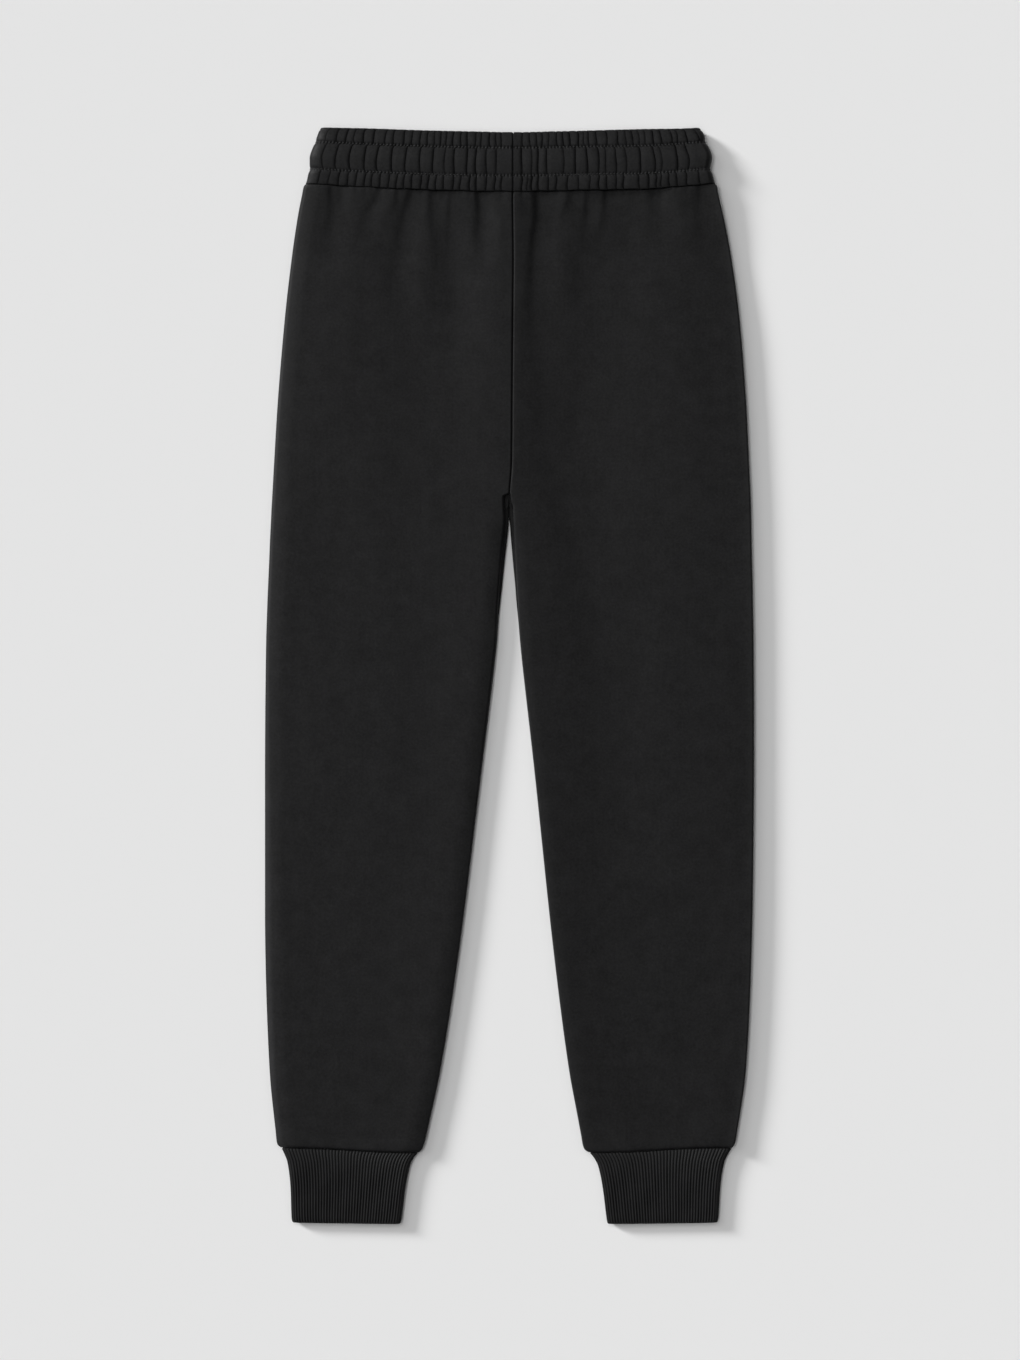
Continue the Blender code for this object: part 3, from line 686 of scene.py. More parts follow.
class Build:
    """A node tree being filled, and the one way in which nodes are added to it."""

    def __init__(self, tree):
        self.tree = tree

    def feed(self, socket, value):
        if isinstance(value, Signal):
            self.tree.links.new(value.socket, socket)
        else:
            socket.default_value = value

    def node(self, kind, settings, inputs, output=0):
        node = self.tree.nodes.new(kind)
        for name, value in settings.items():
            setattr(node, name, value)
        for name, value in inputs.items():
            self.feed(node.inputs[name], value)
        return Signal(self, node.outputs[output])

    def place(self):
        """Where a point of the piece is, in metres."""
        return self.node("ShaderNodeTexCoord", {}, {}, "Object")

    def axes(self, vector):
        x = self.node("ShaderNodeSeparateXYZ", {}, {"Vector": vector}, "X")
        return x, x.beside("Y"), x.beside("Z")

    def stretched(self, vector, scales):
        return self.node("ShaderNodeVectorMath", {"operation": "MULTIPLY"}, {0: vector, 1: scales})

    def noise(self, vector, scale, detail=2.0, roughness=0.5):
        return self.node("ShaderNodeTexNoise", {}, {
            "Vector": vector, "Scale": scale, "Detail": detail, "Roughness": roughness})

    def blend(self, share, first, second):
        return self.node("ShaderNodeMix", {"data_type": "RGBA", "clamp_factor": False}, {
            "Factor": share, "A": first, "B": second}, 2)

    def over(self, value, start, end, gain):
        """A soft rise from 0 to the gain while a value goes from start to end."""
        return self.node("ShaderNodeMapRange", {"interpolation_type": "SMOOTHSTEP"}, {
            "Value": value, "From Min": start, "From Max": end, "To Min": 0.0, "To Max": gain})

    def upwards(self):
        """How far a face leans upwards, from -1 to 1."""
        return self.axes(self.node("ShaderNodeNewGeometry", {}, {}, "True Normal"))[2]

    def painted_edge_highlight(self, gain):
        """A painted highlight: what a tone gains where the cloth turns over at its folded edges, standing
        in for the light they catch.
        """
        return self.over(abs(self.upwards()), 0.75, 0.25, gain)

    def painted_left_fold_highlight(self, place, gain):
        """A painted highlight: what a tone gains along the fold of the left side, which faces the key
        light.
        """
        side = self.over(self.axes(place)[0], *PAINTED_HIGHLIGHT_SIDE, gain)
        return side * self.over(self.upwards(), 0.995, 0.84, 1.0)

    def painted_recess_shade(self, start, end, gain):
        """Painted shade: what a tone loses in a fold or seam, where its openness goes from start to end.
        """
        openness = self.node("ShaderNodeAmbientOcclusion", {"samples": PAINTED_SHADE_SAMPLES}, {
            "Distance": PAINTED_SHADE_REACH}, "AO")
        return self.over(openness, start, end, gain)

    def bump(self, height, distance, **more):
        return self.node("ShaderNodeBump", {}, {"Height": height, "Distance": distance, **more})

    def shades(self, colour, contrast, share):
        """A colour that goes from a darker to a lighter shade of itself."""
        return self.blend(share, shade_of(colour, 1 - contrast), shade_of(colour, 1 + contrast))

    def finish(self, sockets):
        """Feed the shader's sockets, with signals or with what is the same all over."""
        shader = self.tree.nodes["Principled BSDF"]
        for name, value in sockets.items():
            self.feed(shader.inputs[name], value)


def blank_finish(name):
    """A material and its builder."""
    material = bpy.data.materials.new(name)
    material.use_nodes = True
    return material, Build(material.node_tree)


def shade_of(colour, share):
    """A colour made lighter or darker."""
    return (*(channel * share for channel in colour), 1.0)


# Sizes in the materials, in metres.
WALE = 0.00085            # width of a jersey stitch
COURSE = 0.00062          # height of a jersey stitch
RIB_COURSE = 0.00075      # height of a rib stitch
TWIST = 0.00045           # from one turn of the thread's twist to the next
KNIT_DEPTH = 0.00003
RIB_KNIT_DEPTH = 0.00005
PAINTED_SHADE_REACH = 0.012      # how far off other cloth darkens a recess with painted shade
PAINTED_SHADE_SAMPLES = 8
PAINTED_HIGHLIGHT_SIDE = (-0.188, -0.21)     # where, across, the painted highlight along the left side's fold starts and is lightest
DRIFT_ACROSS = (-0.06, 0.06)      # where the legs darken from left to right


def jersey_height(build, place):
    """The face of jersey: columns of small chevrons."""
    x, y, _ = build.axes(place)
    from_middle = abs((x / WALE) % 1.0 - 0.5)
    chevron = (y / COURSE + from_middle * 1.3) * TURN
    valley = (1 - from_middle * 2) ** 0.5
    return valley * (0.7 + 0.3 * chevron.sine())


def jersey(name, colour, sheen, drift, painted_recess_shade):
    """Brushed fleece jersey, matt, with a raised nap and a faint mottle. It darkens a little across, by
    the drift, and has painted shade in its recesses and painted highlights at its turned edges."""
    material, build = blank_finish(name)
    place = build.place()
    mottle = build.noise(place, 70.0, 4.0, 0.62)
    streak = build.noise(build.stretched(place, (420.0, 26.0, 420.0)), 1.0, 3.0)
    fleck = build.noise(place, 1900.0, 2.0, 0.7)
    grain = build.noise(place, 480.0, 3.0, 0.7)
    nap = build.noise(place, 2600.0, 3.0, 0.65)
    tone = 0.8 * mottle + 0.2 * streak + 0.25 * fleck + 1.2 * grain
    # Painted highlights: the tone is lifted where the cloth turns over at its folded edges, and more along
    # the left side's fold, which faces the key light.
    share = (tone - 1.225) * 2.2 + 0.5 + build.painted_edge_highlight(1.6) + build.painted_left_fold_highlight(place, 1.9)
    # Painted shade: the tone is lowered in folds, seams and other recesses.
    share = share - build.over(build.axes(place)[0], *DRIFT_ACROSS, drift) - build.painted_recess_shade(*painted_recess_shade)
    knit = build.bump(jersey_height(build, place), KNIT_DEPTH)
    build.finish({
        "Base Color": build.shades(colour, 0.28, share),
        "Roughness": 0.50 + 0.06 * fleck,
        "Normal": build.bump(nap, KNIT_DEPTH, Strength=0.8, Normal=knit),
        "Specular IOR Level": 0.10,
        "Sheen Weight": sheen,
        "Sheen Roughness": 0.35,
        "Sheen Tint": (0.9, 0.9, 0.93, 1.0),
    })
    return material


def rib_knit(name, colour, sheen):
    """Rib knit, denser and darker than the jersey, with a stitch along each rib."""
    material, build = blank_finish(name)
    place = build.place()
    course = 0.5 + 0.5 * (build.axes(place)[1] * (TURN / RIB_COURSE)).sine()
    fleck = build.noise(place, 1700.0, 2.0, 0.7)
    mottle = build.noise(place, 90.0, 3.0, 0.6)
    tone = 0.45 * mottle + 0.35 * fleck + 0.2 * course
    build.finish({
        "Base Color": build.shades(colour, 0.25, (tone - 0.5) * 2.0 + 0.5),
        "Roughness": 0.50 + 0.06 * fleck,
        "Normal": build.bump(course + 0.8 * fleck, RIB_KNIT_DEPTH),
        "Specular IOR Level": 0.10,
        "Sheen Weight": sheen * 0.7,
        "Sheen Roughness": 0.35,
    })
    return material


def thread_finish(name, colour):
    """Spun sewing thread, a little smoother than the cloth, with its twist."""
    material, build = blank_finish(name)
    x, y, _ = build.axes(build.place())
    twist = 0.5 + 0.5 * ((x + y * 2) * (TURN / TWIST)).sine()
    build.finish({
        "Base Color": build.shades(colour, 0.25, twist),
        "Roughness": 0.55 + 0.15 * twist,
        "Normal": build.bump(twist, RIB_KNIT_DEPTH),
        "Specular IOR Level": 0.25,
    })
    return material


def finish_of(kind, settings):
    """One of the garment's finishes, made the first time it is asked for."""
    if kind in bpy.data.materials:
        return bpy.data.materials[kind]
    # Each jersey's last three numbers set its painted shade in recesses: the openness where it starts and
    # where it is full, and how much it darkens.
    if kind == "fleece_jersey":
        return jersey(kind, settings.fleece, settings.sheen, 0.18, (0.8, 0.35, 1.3))
    if kind == "waistband_jersey":
        return jersey(kind, settings.band, settings.sheen, 0.0, (0.65, 0.25, 0.8))
    if kind == "rib_knit":
        return rib_knit(kind, settings.rib, settings.sheen)
    return thread_finish(kind, settings.thread)


# Leg panels

def fold_depth(folds, side, x, down):
    """How deep the folds of one panel are at each place."""
    depth = np.zeros(np.broadcast(x, down).shape)
    for fold in folds:
        if fold.side != side:
            continue
        path_x, path_down = zip(*fold.path)
        start, end = path_down[0], path_down[-1]
        part = np.clip((down - start) / (end - start), 0.0, 1.0)
        if start < SEAM_FOLDS:
            fade = ease((1 - part) / SEAM_FOLD_FADE)
        else:
            fade = ease((1 - part) / FREE_FOLD_FADE)
            fade = fade * ease((down - start + FREE_FOLD_LEAD) / FREE_FOLD_LEAD)
        width = fold.width + (fold.spread - fold.width) * part ** 0.8
        away = x - CREASE_SHIFT - smooth_through(path_down, path_x, down)
        softer = stepped(away + 1.5 * width, 3.5 * width)
        step = FOLD_FIRM * stepped(away, width) + (1 - FOLD_FIRM) * softer
        depth += fold.depth * fade * step * ease(1 - (away - width) / fold.reach) * (down < end)
    return depth


def waist_drop(x, down):
    """How much further down the cloth lies round the waist, and how the waist seam wanders."""
    share = 1.0
    for place, more, width in WAIST_DROPS:
        share = share + more * bell(x - place, width)
    wander = 0.18 * np.sin(x / 6.1) + 0.14 * np.sin(x / 2.7 + 1.3)
    return (WAIST_DROP * within(WAIST_DROP_SPAN, down) * share
            + wander * bell(down - SECTIONS[0].down, WANDER_REACH))


def waist_dip(x, down):
    """How much lower a section lies here than at its sides, below the curved waist seam."""
    fade = ease(1 - (down - SECTIONS[0].down) / WAIST_DIP_FADE)
    dip = WAIST_DIP * fade * np.maximum(0.0, 1 - (x / SECTIONS[0].right) ** 2)
    return dip + waist_drop(x, down)


def hem_slant(x, side, down):
    """How much lower a section lies here than at its outer edge, above the slanting hem."""
    hem = SECTIONS[-1]
    outer_edge, inner_edge = (hem.left, hem.gap_left) if side < 0 else (hem.right, hem.gap_right)
    across = (x - outer_edge) / (inner_edge - outer_edge)
    return HEM_SLANT * ease(1 - (hem.down - down) / HEM_SLANT_FADE) * after(HEM_SLANT_ACROSS, across)


def lie(x, down):
    """The slight waviness of cloth that lies loosely."""
    wave = np.sin(x / 17.0 + 1.9 * np.sin(down / 160.0)) * np.sin(down / 95.0 + x / 60.0)
    wave += 0.7 * np.sin(x / 9.5 + down / 210.0 + 0.8) * np.sin(down / 61.0 + 2.0)
    return LIE_DEPTH * wave * after(LIE, down)


def wall_at(down):
    """Thickness of a panel's wall. It is thin at the hem, where the cuff runs in."""
    return read(SECTIONS, "wall", down) + WALL_SPARE - HEM_THINNING * after(HEM_THIN, down)


def hollow(leg, from_inner, down):
    """How far a leg's back has sunk onto its front. It sinks most towards the inside of the leg."""
    across = Span(0.0, HOLLOW_DEEPEST, leg.hollow, leg.hollow - HOLLOW_DEEPEST)
    return np.minimum(SAG_SHARE * read(SECTIONS, "sag", down), leg.sink) * within(across, from_inner)


def loose_depth(leg, folds, x, down, from_inner, turn):
    """How far a back panel's outer skin lies below its plain form: folds, puckers and sewn edges."""
    depth = fold_depth(folds, leg.side, x, down) - lie(x, down)
    from_waist = down - SECTIONS[0].down
    depth += PUCKER_DEPTH * pucker_depth(x) * bell(from_waist, PUCKER_REACH)
    depth += (1 - turn) * sunk_at(RISE_GROOVE, from_inner) + sunk_at(WAIST_GROOVE, from_waist)
    if leg.side > 0:
        depth -= TURNINGS_RISE * within(TURNINGS, from_inner) * before(TURNINGS_END, down)
        depth -= (1 - turn) * (1 - RIGHT_GROOVE_SHARE) * sunk_at(RISE_GROOVE, from_inner)
    limit = wall_at(down) - WALL_LEAST
    return limit * np.tanh(depth / limit) + rolled(SECTIONS[-1].down - down, HEM_ROLL)


def columns_across(outer_edge, inner_edge, outer, inner, flat_columns, edge_columns):
    """Distances of a panel's columns from its outer edge, close together where the edges round over."""
    reach, far_reach = (max(edge.width, edge.roll) + EDGE_SPARE for edge in (outer, inner))
    width = np.abs(inner_edge - outer_edge)
    steps = (np.arange(edge_columns) / edge_columns)[None, :]
    flat = reach + (width - reach - far_reach) * np.linspace(0.0, 1.0, flat_columns + 1)[None, :]
    near = np.broadcast_to(reach * steps ** COLUMNS_CLOSER, (len(width), edge_columns))
    far = width - (far_reach * steps ** COLUMNS_CLOSER)[:, ::-1]
    return np.concatenate([near, flat, far], axis=1), width


def across_column(name, side):
    """The column of a table that holds for the left or the right leg."""
    return f"{name}{'left' if side < 0 else 'right'}"


def inner_edge_of(side, is_back, down, turn):
    """Where a panel's inner edge lies at its rise seam and inseam."""
    setback = read(INSEAM, across_column("", side), down)
    edge = read(SECTIONS, across_column("gap_", side), down)
    if not is_back:
        edge = edge + FRONT_SEAM_SHIFT * before(FRONT_SEAM_END, down)
        setback = setback * turn - FRONT_SEAM_CLOSED * within(FRONT_CLOSED_SPAN, down)
    return edge + side * (SEAM_GAP / 2 + setback)


def panel_grid(leg, is_back, downs, flat_columns, edge_columns, is_inner, folds):
    """Points over one skin of a leg panel, a row for each section, from side seam to rise or inseam."""
    side = leg.side
    down = np.asarray(downs, float)[:, None]
    plain = is_inner or not is_back
    outer, inner = (PLAIN_OUTER, PLAIN_INNER) if plain else (leg.outer, leg.inner)
    turn = read(INSEAM, "turn" if is_back else "front_turn", down)
    outer_edge = read(SECTIONS, across_column("", side), down)
    inner_edge = inner_edge_of(side, is_back, down, turn)
    from_outer, width = columns_across(outer_edge, inner_edge, outer, inner, flat_columns, edge_columns)
    from_inner = width - from_outer
    x = outer_edge - side * from_outer
    across = from_outer / width

    lowered = after(LOW_ROLLS, down)
    outer_roll, inner_roll = (edge.roll + (edge.low_roll - edge.roll) * lowered for edge in (outer, inner))
    outer_lean = np.clip(1 - from_outer / outer_roll, 0.0, 1.0)
    inner_lean = np.clip(1 - from_inner / inner_roll, 0.0, 1.0)
    upright = np.sqrt(1 - outer_lean ** 2) * (1 - turn * (1 - np.sqrt(1 - inner_lean ** 2)))
    lean = side * (outer_lean - turn * inner_lean)
    inset = wall_at(down) if is_inner else 0.0
    y = LENGTH / 2 - down - waist_dip(x, down) - hem_slant(x, side, down)
    if is_back:
        base = SEAM_HEIGHT + SEAM_GAP / 2
        rise = read(SECTIONS, "height", down) - base
        rise = rise - hollow(leg, from_inner, down)
        inner_puff = leg.inner.puff * across ** 2 * after(INNER_PUFF, down)
        rise = rise + leg.outer.puff * (1 - across) ** 2 + inner_puff
        rise = rise - outer.fall * np.clip(1 - from_outer / outer.width, 0.0, 1.0) ** 2
        inner_fall = inner.fall * after(INNER_FALL, down)
        rise = rise - inner_fall * np.clip(1 - from_inner / inner.width, 0.0, 1.0) ** 2
        if not is_inner:
            rise = rise - loose_depth(leg, folds, x, down, from_inner, turn)
        z = base + (rise - inset) * upright
        height = z - base
    else:
        base = SEAM_HEIGHT - SEAM_GAP / 2
        z = base * (1 - upright) + inset * upright
        if not is_inner:
            loose = np.clip(fold_depth(folds, side, x, down), 0.0, FRONT_FOLD_LIMIT)
            loose = loose + (1 - turn) * rolled(from_inner, FRONT_ROLL)
            from_waist, from_hem = down - SECTIONS[0].down, SECTIONS[-1].down - down
            loose += rolled(from_waist, FRONT_ROLL) + rolled(from_hem, FRONT_ROLL)
            z = z + loose * upright
            drawn_back = read(INSEAM, across_column("", side), down)
            bulge = drawn_back + RIM_SETBACK * after(RIM, drawn_back)
            rim = np.sin(math.pi * np.clip(z / base, 0.0, 1.0)) * (from_inner < inner.roll)
            x = x - side * bulge * turn * rim
        height = base - z
    tucked = 0.0 if is_inner else rolled(height, SEAM_TUCK)
    return np.stack([x - (inset + tucked) * lean, y, z], axis=-1)


def underlapped(grid):
    """A skin of a back panel with a row before its first, drawn in and run on under the waistband."""
    edge = grid[:1] * (UNDERLAP_SHARE, 1.0, 1.0) - (0.0, 0.0, UNDERLAP_DROP)
    return np.concatenate([edge + (0.0, UNDERLAP, 0.0), edge, grid])


def panel_rows(pitch):
    """Distances down of a panel's fine rows: close together at its seams and in the hips."""
    top, hem = SECTIONS[0].down, SECTIONS[-1].down
    seam_width, seam_count = SEAM_ROWS
    hem_width, hem_count = HEM_ROWS
    seam = top + seam_width * np.linspace(0.0, 1.0, seam_count) ** ROWS_CLOSER
    hips = spaced(seam[-1], HIPS_END, pitch)[1:]
    seat = spaced(HIPS_END, CROTCH_START, pitch * SEAT_COARSER)[1:]
    crotch = spaced(CROTCH_START, CROTCH_END, CROTCH_PITCH)[1:]
    leg = spaced(CROTCH_END, hem - hem_width, pitch * LEG_COARSER)[1:]
    edge = hem - hem_width * (1 - np.linspace(0.0, 1.0, hem_count)[1:]) ** ROWS_CLOSER
    return np.concatenate([seam, hips, seat, crotch, leg, edge])


def panel(leg, is_back, settings, material):
    """One leg panel: a fine outer skin over a plain inner one."""
    coarser = 1.0 if is_back else FRONT_COARSER
    name = f"{leg.name}_{'back' if is_back else 'front'}_leg"
    columns = round(FLAT_WIDTH / (settings.column_pitch / MM * coarser))
    folds = BACK_FOLDS if is_back else FRONT_FOLDS
    folds = [fold._replace(depth=fold.depth * settings.fold_depth) for fold in folds]
    rows = panel_rows(settings.row_pitch / MM * coarser)
    outer = panel_grid(leg, is_back, rows, columns, round(EDGE_COLUMNS / coarser), False, folds)
    plain_rows = sorted([SECTIONS[0].down, *spaced(*PLAIN_ROWS), *CROTCH_ROWS, SECTIONS[-1].down])
    inner = panel_grid(leg, is_back, plain_rows, *PLAIN_COLUMNS, True, ())
    if is_back:
        outer, inner = underlapped(outer), underlapped(inner)
    return dress(wall(f"{name}_cloth", outer, inner, material), "fleece", name)


# Rings: the waistband and the cuffs

ROLL_STEPS = 24           # points round each quarter of an outline's rolls
UNDERNEATH = -0.97        # upward lean below which an outline lies flat underneath
UNDERNEATH_COARSER = 3    # how much further apart the band's columns are there
PLAIN_PITCH = 6.0         # between the columns of the rings' inner skins


def outline(left, right, height, roll, slit, inset=0.0, right_roll=None):
    """Points round a flattened tube with their leans, from one side of its slit to the other. The slit
    is at the left or the right edge, or at a place across its top."""
    left, right = left + inset, right - inset
    rolls = roll - inset, (right_roll or roll) - inset
    corners = []
    for quarter in range(4):
        angle = math.pi - QUARTER * (quarter + np.arange(ROLL_STEPS + 1) / ROLL_STEPS)
        is_left = quarter in (0, 3)
        radius = rolls[0] if is_left else rolls[1]
        centre = left + radius if is_left else right - radius
        corners.append(np.stack([centre + radius * np.cos(angle),
                                 inset + (height / 2 - inset) * (1 + np.sin(angle)),
                                 np.cos(angle), np.sin(angle)], axis=-1))
    half_gap = SEAM_GAP / 2
    if slit in ("left", "right"):
        order = corners if slit == "left" else corners[2:] + corners[:2]
        up = 1 if slit == "left" else -1
        points = np.concatenate(order)
        points[0, 1] = height / 2 + up * half_gap
        points[-1, 1] = height / 2 - up * half_gap
        return points
    top = height - inset
    start, end = [[slit + half_gap, top, 0.0, 1.0]], [[slit - half_gap, top, 0.0, 1.0]]
    return np.concatenate([start, corners[1], corners[2], corners[3], corners[0], end])


def lengths_along(points):
    """Distance along an outline at each of its points."""
    return np.concatenate([[0.0], np.cumsum(np.linalg.norm(np.diff(points[:, :2], axis=0), axis=1))])


def points_along(points, shares):
    """Points at shares of the length of an outline."""
    lengths = lengths_along(points)
    return np.stack([np.interp(shares * lengths[-1], lengths, column) for column in points.T], axis=-1)


def shares_round(points, pitch, sparse):
    """Even shares of an outline, with only one in a few kept where it lies flat underneath."""
    count = round(lengths_along(points)[-1] / pitch)
    shares = np.arange(count + 1) / count
    underneath = points_along(points, shares)[:, 3] < UNDERNEATH
    keep = ~underneath | (np.arange(count + 1) % sparse == 0)
    keep[[0, -1]] = True
    return shares[keep]


# A row of a ring's skin: its distance down, how far inside the outline it is, and which way it faces,
# from a quarter turn towards the waist to a quarter turn towards the hem.
Course = namedtuple("Course", "down inset facing")


def edge_courses(down, radius, steps, towards_waist, past):
    """Courses that round an edge over, from its inside to the outline."""
    sign = 1 if towards_waist else -1
    courses = []
    for step in range(steps):
        angle = past * (1 - step / steps)
        courses.append(Course(down + sign * radius * (1 - math.sin(angle)),
                              radius * (1 - math.cos(angle)), sign * angle))
    return courses if towards_waist else courses[::-1]


def pucker_depth(x):
    """How deep the legs are puckered at the waist seam, as a share, below the last strip's gathers."""
    depth = np.zeros_like(x)
    for place, share in STRIPS[-1].gathers:
        depth += share * bell(x - place - CREASE_SHIFT, PUCKER_WIDTH)
    return depth


def band_outline(down, inset=0.0):
    """The waistband's outline at a distance down."""
    down = max(down, BAND_FOLD)
    left, right, height = (read(WAISTBAND, column, down) for column in ("left", "right", "height"))
    return outline(left, right, height, BAND_ROLL, BAND_SEAM, inset, BAND_RIGHT_ROLL)


def gather_columns(strip, shares):
    """The columns that a strip's gathers follow, over the back and mirrored underneath, with shares."""
    x, _, _, lean = points_along(band_outline((strip.start + strip.end) / 2), shares).T
    columns = []
    for place, share in strip.gathers:
        over = np.where(lean > 0, np.abs(x - place - CREASE_SHIFT), math.inf)
        under = np.where(lean < 0, np.abs(x + place), math.inf)
        columns += [(int(np.argmin(over)), share), (int(np.argmin(under)), share * UNDERSIDE_GATHERS)]
    return columns


def gathered(strip, columns, along, part):
    """How deep a row of the waistband is drawn in, as a share, and how far its cloth is pushed over the
    gathers. The cloth falls into a gather and is folded over it from the other side."""
    depth, pushed = np.zeros_like(along), np.zeros_like(along)
    swell = math.sin(math.pi * part) ** 0.4
    full = swell + (1 - swell) * (strip.at_start if part < 0.5 else strip.at_end)
    for column, share in columns:
        near = slice(max(column - COLUMNS_BEFORE, 0), column + COLUMNS_AFTER)
        beyond = along[near] - along[column]
        pitch = along[column + 1] - along[column]
        short = np.abs(np.minimum(beyond, 0.0))
        fall = np.where(beyond <= 0, np.exp(-(short / CREASE_FALL) ** 1.2), 0.0)
        swell_depth = bell(np.maximum(short, beyond), CREASE_SWELL)
        depth[near] += share * full * (CREASE_SHARE * fall + (1 - CREASE_SHARE) * swell_depth)
        overlap = pitch + CREASE_OVERLAP * share * swell
        pushed[near] += np.where(beyond > 0, overlap * np.exp(-(beyond - pitch) / OVERLAP_FADE), 0.0)
    return depth, pushed


def band_relief(course, around, points, shares, gathers, settings):
    """How far a row of the waistband's outer skin is drawn in, and how far it is pushed along: gathers,
    the seam at the centre back, and the stitches with their needle holes."""
    down = max(course.down, 0.0)
    x, _, _, lean_z = points.T
    index = next(number for number, strip in enumerate(STRIPS) if down <= strip.end)
    strip = STRIPS[index]
    part = min((down - strip.start) / (strip.end - strip.start), 1.0)
    swell = math.sin(math.pi * part)
    sunk, pushed = gathered(strip, gathers[index], shares * lengths_along(around)[-1], part)
    sunk = sunk * (settings.gather_depth / MM) * np.abs(lean_z) ** 0.7

    middle_x = points_along(band_outline((strip.start + strip.end) / 2, course.inset), shares)[:, 0]
    away_from_ends = np.clip(1 - (x / STRAIGHT_END) ** 8, 0.0, 1.0) * swell ** 0.3
    sway = 0.4 * np.sin(x / 4.7 + 2 * index + 3.5 * part)
    slant = (strip.shift + strip.tilt * x) * (0.5 - part) + sway
    pushed = (pushed - slant * swell ** 0.5) * np.abs(lean_z)
    pushed -= CREASE_STRAIGHT * (middle_x - x) * away_from_ends * lean_z

    from_seam = np.where(x < BAND_SEAM, BAND_SEAM - x, BAND_SEAM_STEEP * (x - BAND_SEAM))
    sunk += np.clip(lean_z, 0.0, 1.0) * sunk_at(BAND_GROOVE, from_seam)
    sunk = BAND_DEEPEST * np.tanh(sunk / BAND_DEEPEST)
    start, step, _ = stitch_places(around, settings)
    holes = np.clip(np.cos(TURN * (shares - start) / step), 0.0, 1.0) ** 2
    for row in STITCH_ROWS:
        pinch = bell(down - row, PINCH_REACH)
        hole = HOLE_DEPTH * bell(down - row, HOLE_REACH) * holes
        sunk += UNDERSIDE_PINCH * pinch * np.clip(-lean_z, 0.0, 1.0)
        sunk += (settings.pinch / MM * pinch + hole) * np.abs(lean_z)
    return sunk, pushed * ease(np.abs(x - BAND_SEAM) / SEAM_HELD)


def band_grid(courses, shares, settings, is_inner):
    """Points over one skin of the waistband, a row for each course, with each point's lean."""
    grid, leans = [], []
    gathers = [gather_columns(strip, shares) for strip in STRIPS]
    for course in courses:
        down = max(course.down, 0.0)
        around = band_outline(down, course.inset)
        points = points_along(around, shares)
        x, z, lean_x, lean_z = points.T
        sunk, pushed = np.zeros_like(x), np.zeros_like(x)
        if not is_inner:
            sunk, pushed = band_relief(course, around, points, shares, gathers, settings)
        out = math.cos(course.facing)
        x_there = x - (sunk * lean_x + pushed * lean_z) * out
        z_there = z - (sunk * lean_z - pushed * lean_x) * out
        middle, half_width = (around[:, 0].min() + around[:, 0].max()) / 2, np.ptp(around[:, 0]) / 2
        dipped = read(WAISTBAND, "dip", max(down, BAND_FOLD))
        dipped = dipped * np.maximum(0.0, 1 - ((x - middle) / half_width) ** 2) + waist_drop(x, down)
        for place, drop, width in EDGE_DROPS:
            dipped += drop * bell(x - place, width) * ease(1 - down / STITCH_ROWS[0])
        y = LENGTH / 2 - course.down - dipped - sunk * math.sin(course.facing) * GATHERS_AT_EDGE
        grid.append(np.stack([x_there, y, z_there], axis=-1))
        leans.append(np.stack([lean_x, np.zeros_like(x), lean_z], axis=-1))
    return np.array(grid), np.array(leans)


def band_courses(settings):
    """The waistband's rows from inside its top fold, over its face, to inside the waist seam."""
    fold = edge_courses(0.0, BAND_FOLD, 9, True, BAND_FOLD_TURN)
    stops = (BAND_FOLD, *STITCH_ROWS, BAND_DEPTH - BAND_HEM)
    face = [BAND_FOLD]
    for start, end in zip(stops, stops[1:]):
        face += list(spaced(start, end, settings.row_pitch / MM))[1:]
    hem = edge_courses(BAND_DEPTH, BAND_HEM, 4, False, QUARTER)
    return fold + [Course(down, 0.0, 0.0) for down in face] + hem


def stitch_places(around, settings):
    """Where a row of stitches starts along an outline, how far each goes on, and how many there are. The
    first two are shares of the outline's length."""
    length = lengths_along(around)[-1]
    count = int((length - 2 * STITCH_MARGIN) * MM / settings.stitch_pitch)
    return STITCH_MARGIN / length, (1 - 2 * STITCH_MARGIN / length) / count, count


def tube_pieces(centres, outwards, radii, sides):
    """Points and faces of many short closed threads: a ring of points at each step of each thread."""
    count, steps = centres.shape[:2]
    along = np.gradient(centres, axis=1)
    along /= np.linalg.norm(along, axis=-1, keepdims=True)
    beside = np.cross(along, outwards)
    beside /= np.linalg.norm(beside, axis=-1, keepdims=True)
    up = np.cross(beside, along)
    angle = TURN * np.arange(sides) / sides
    ring = (up[:, :, None, :] * np.cos(angle)[None, None, :, None]
            + beside[:, :, None, :] * np.sin(angle)[None, None, :, None])
    points = centres[:, :, None, :] + ring * radii[None, :, None, None]
    number = np.arange(count * steps * sides).reshape(count, steps, sides)
    beside_it = np.roll(number, -1, axis=2)
    quads = np.stack([number[:, :-1], beside_it[:, :-1], beside_it[:, 1:], number[:, 1:]], axis=-1)
    faces = quads.reshape(-1, 4).tolist()
    faces += number[:, 0, ::-1].tolist() + number[:, -1].tolist()
    return points.reshape(-1, 3), faces


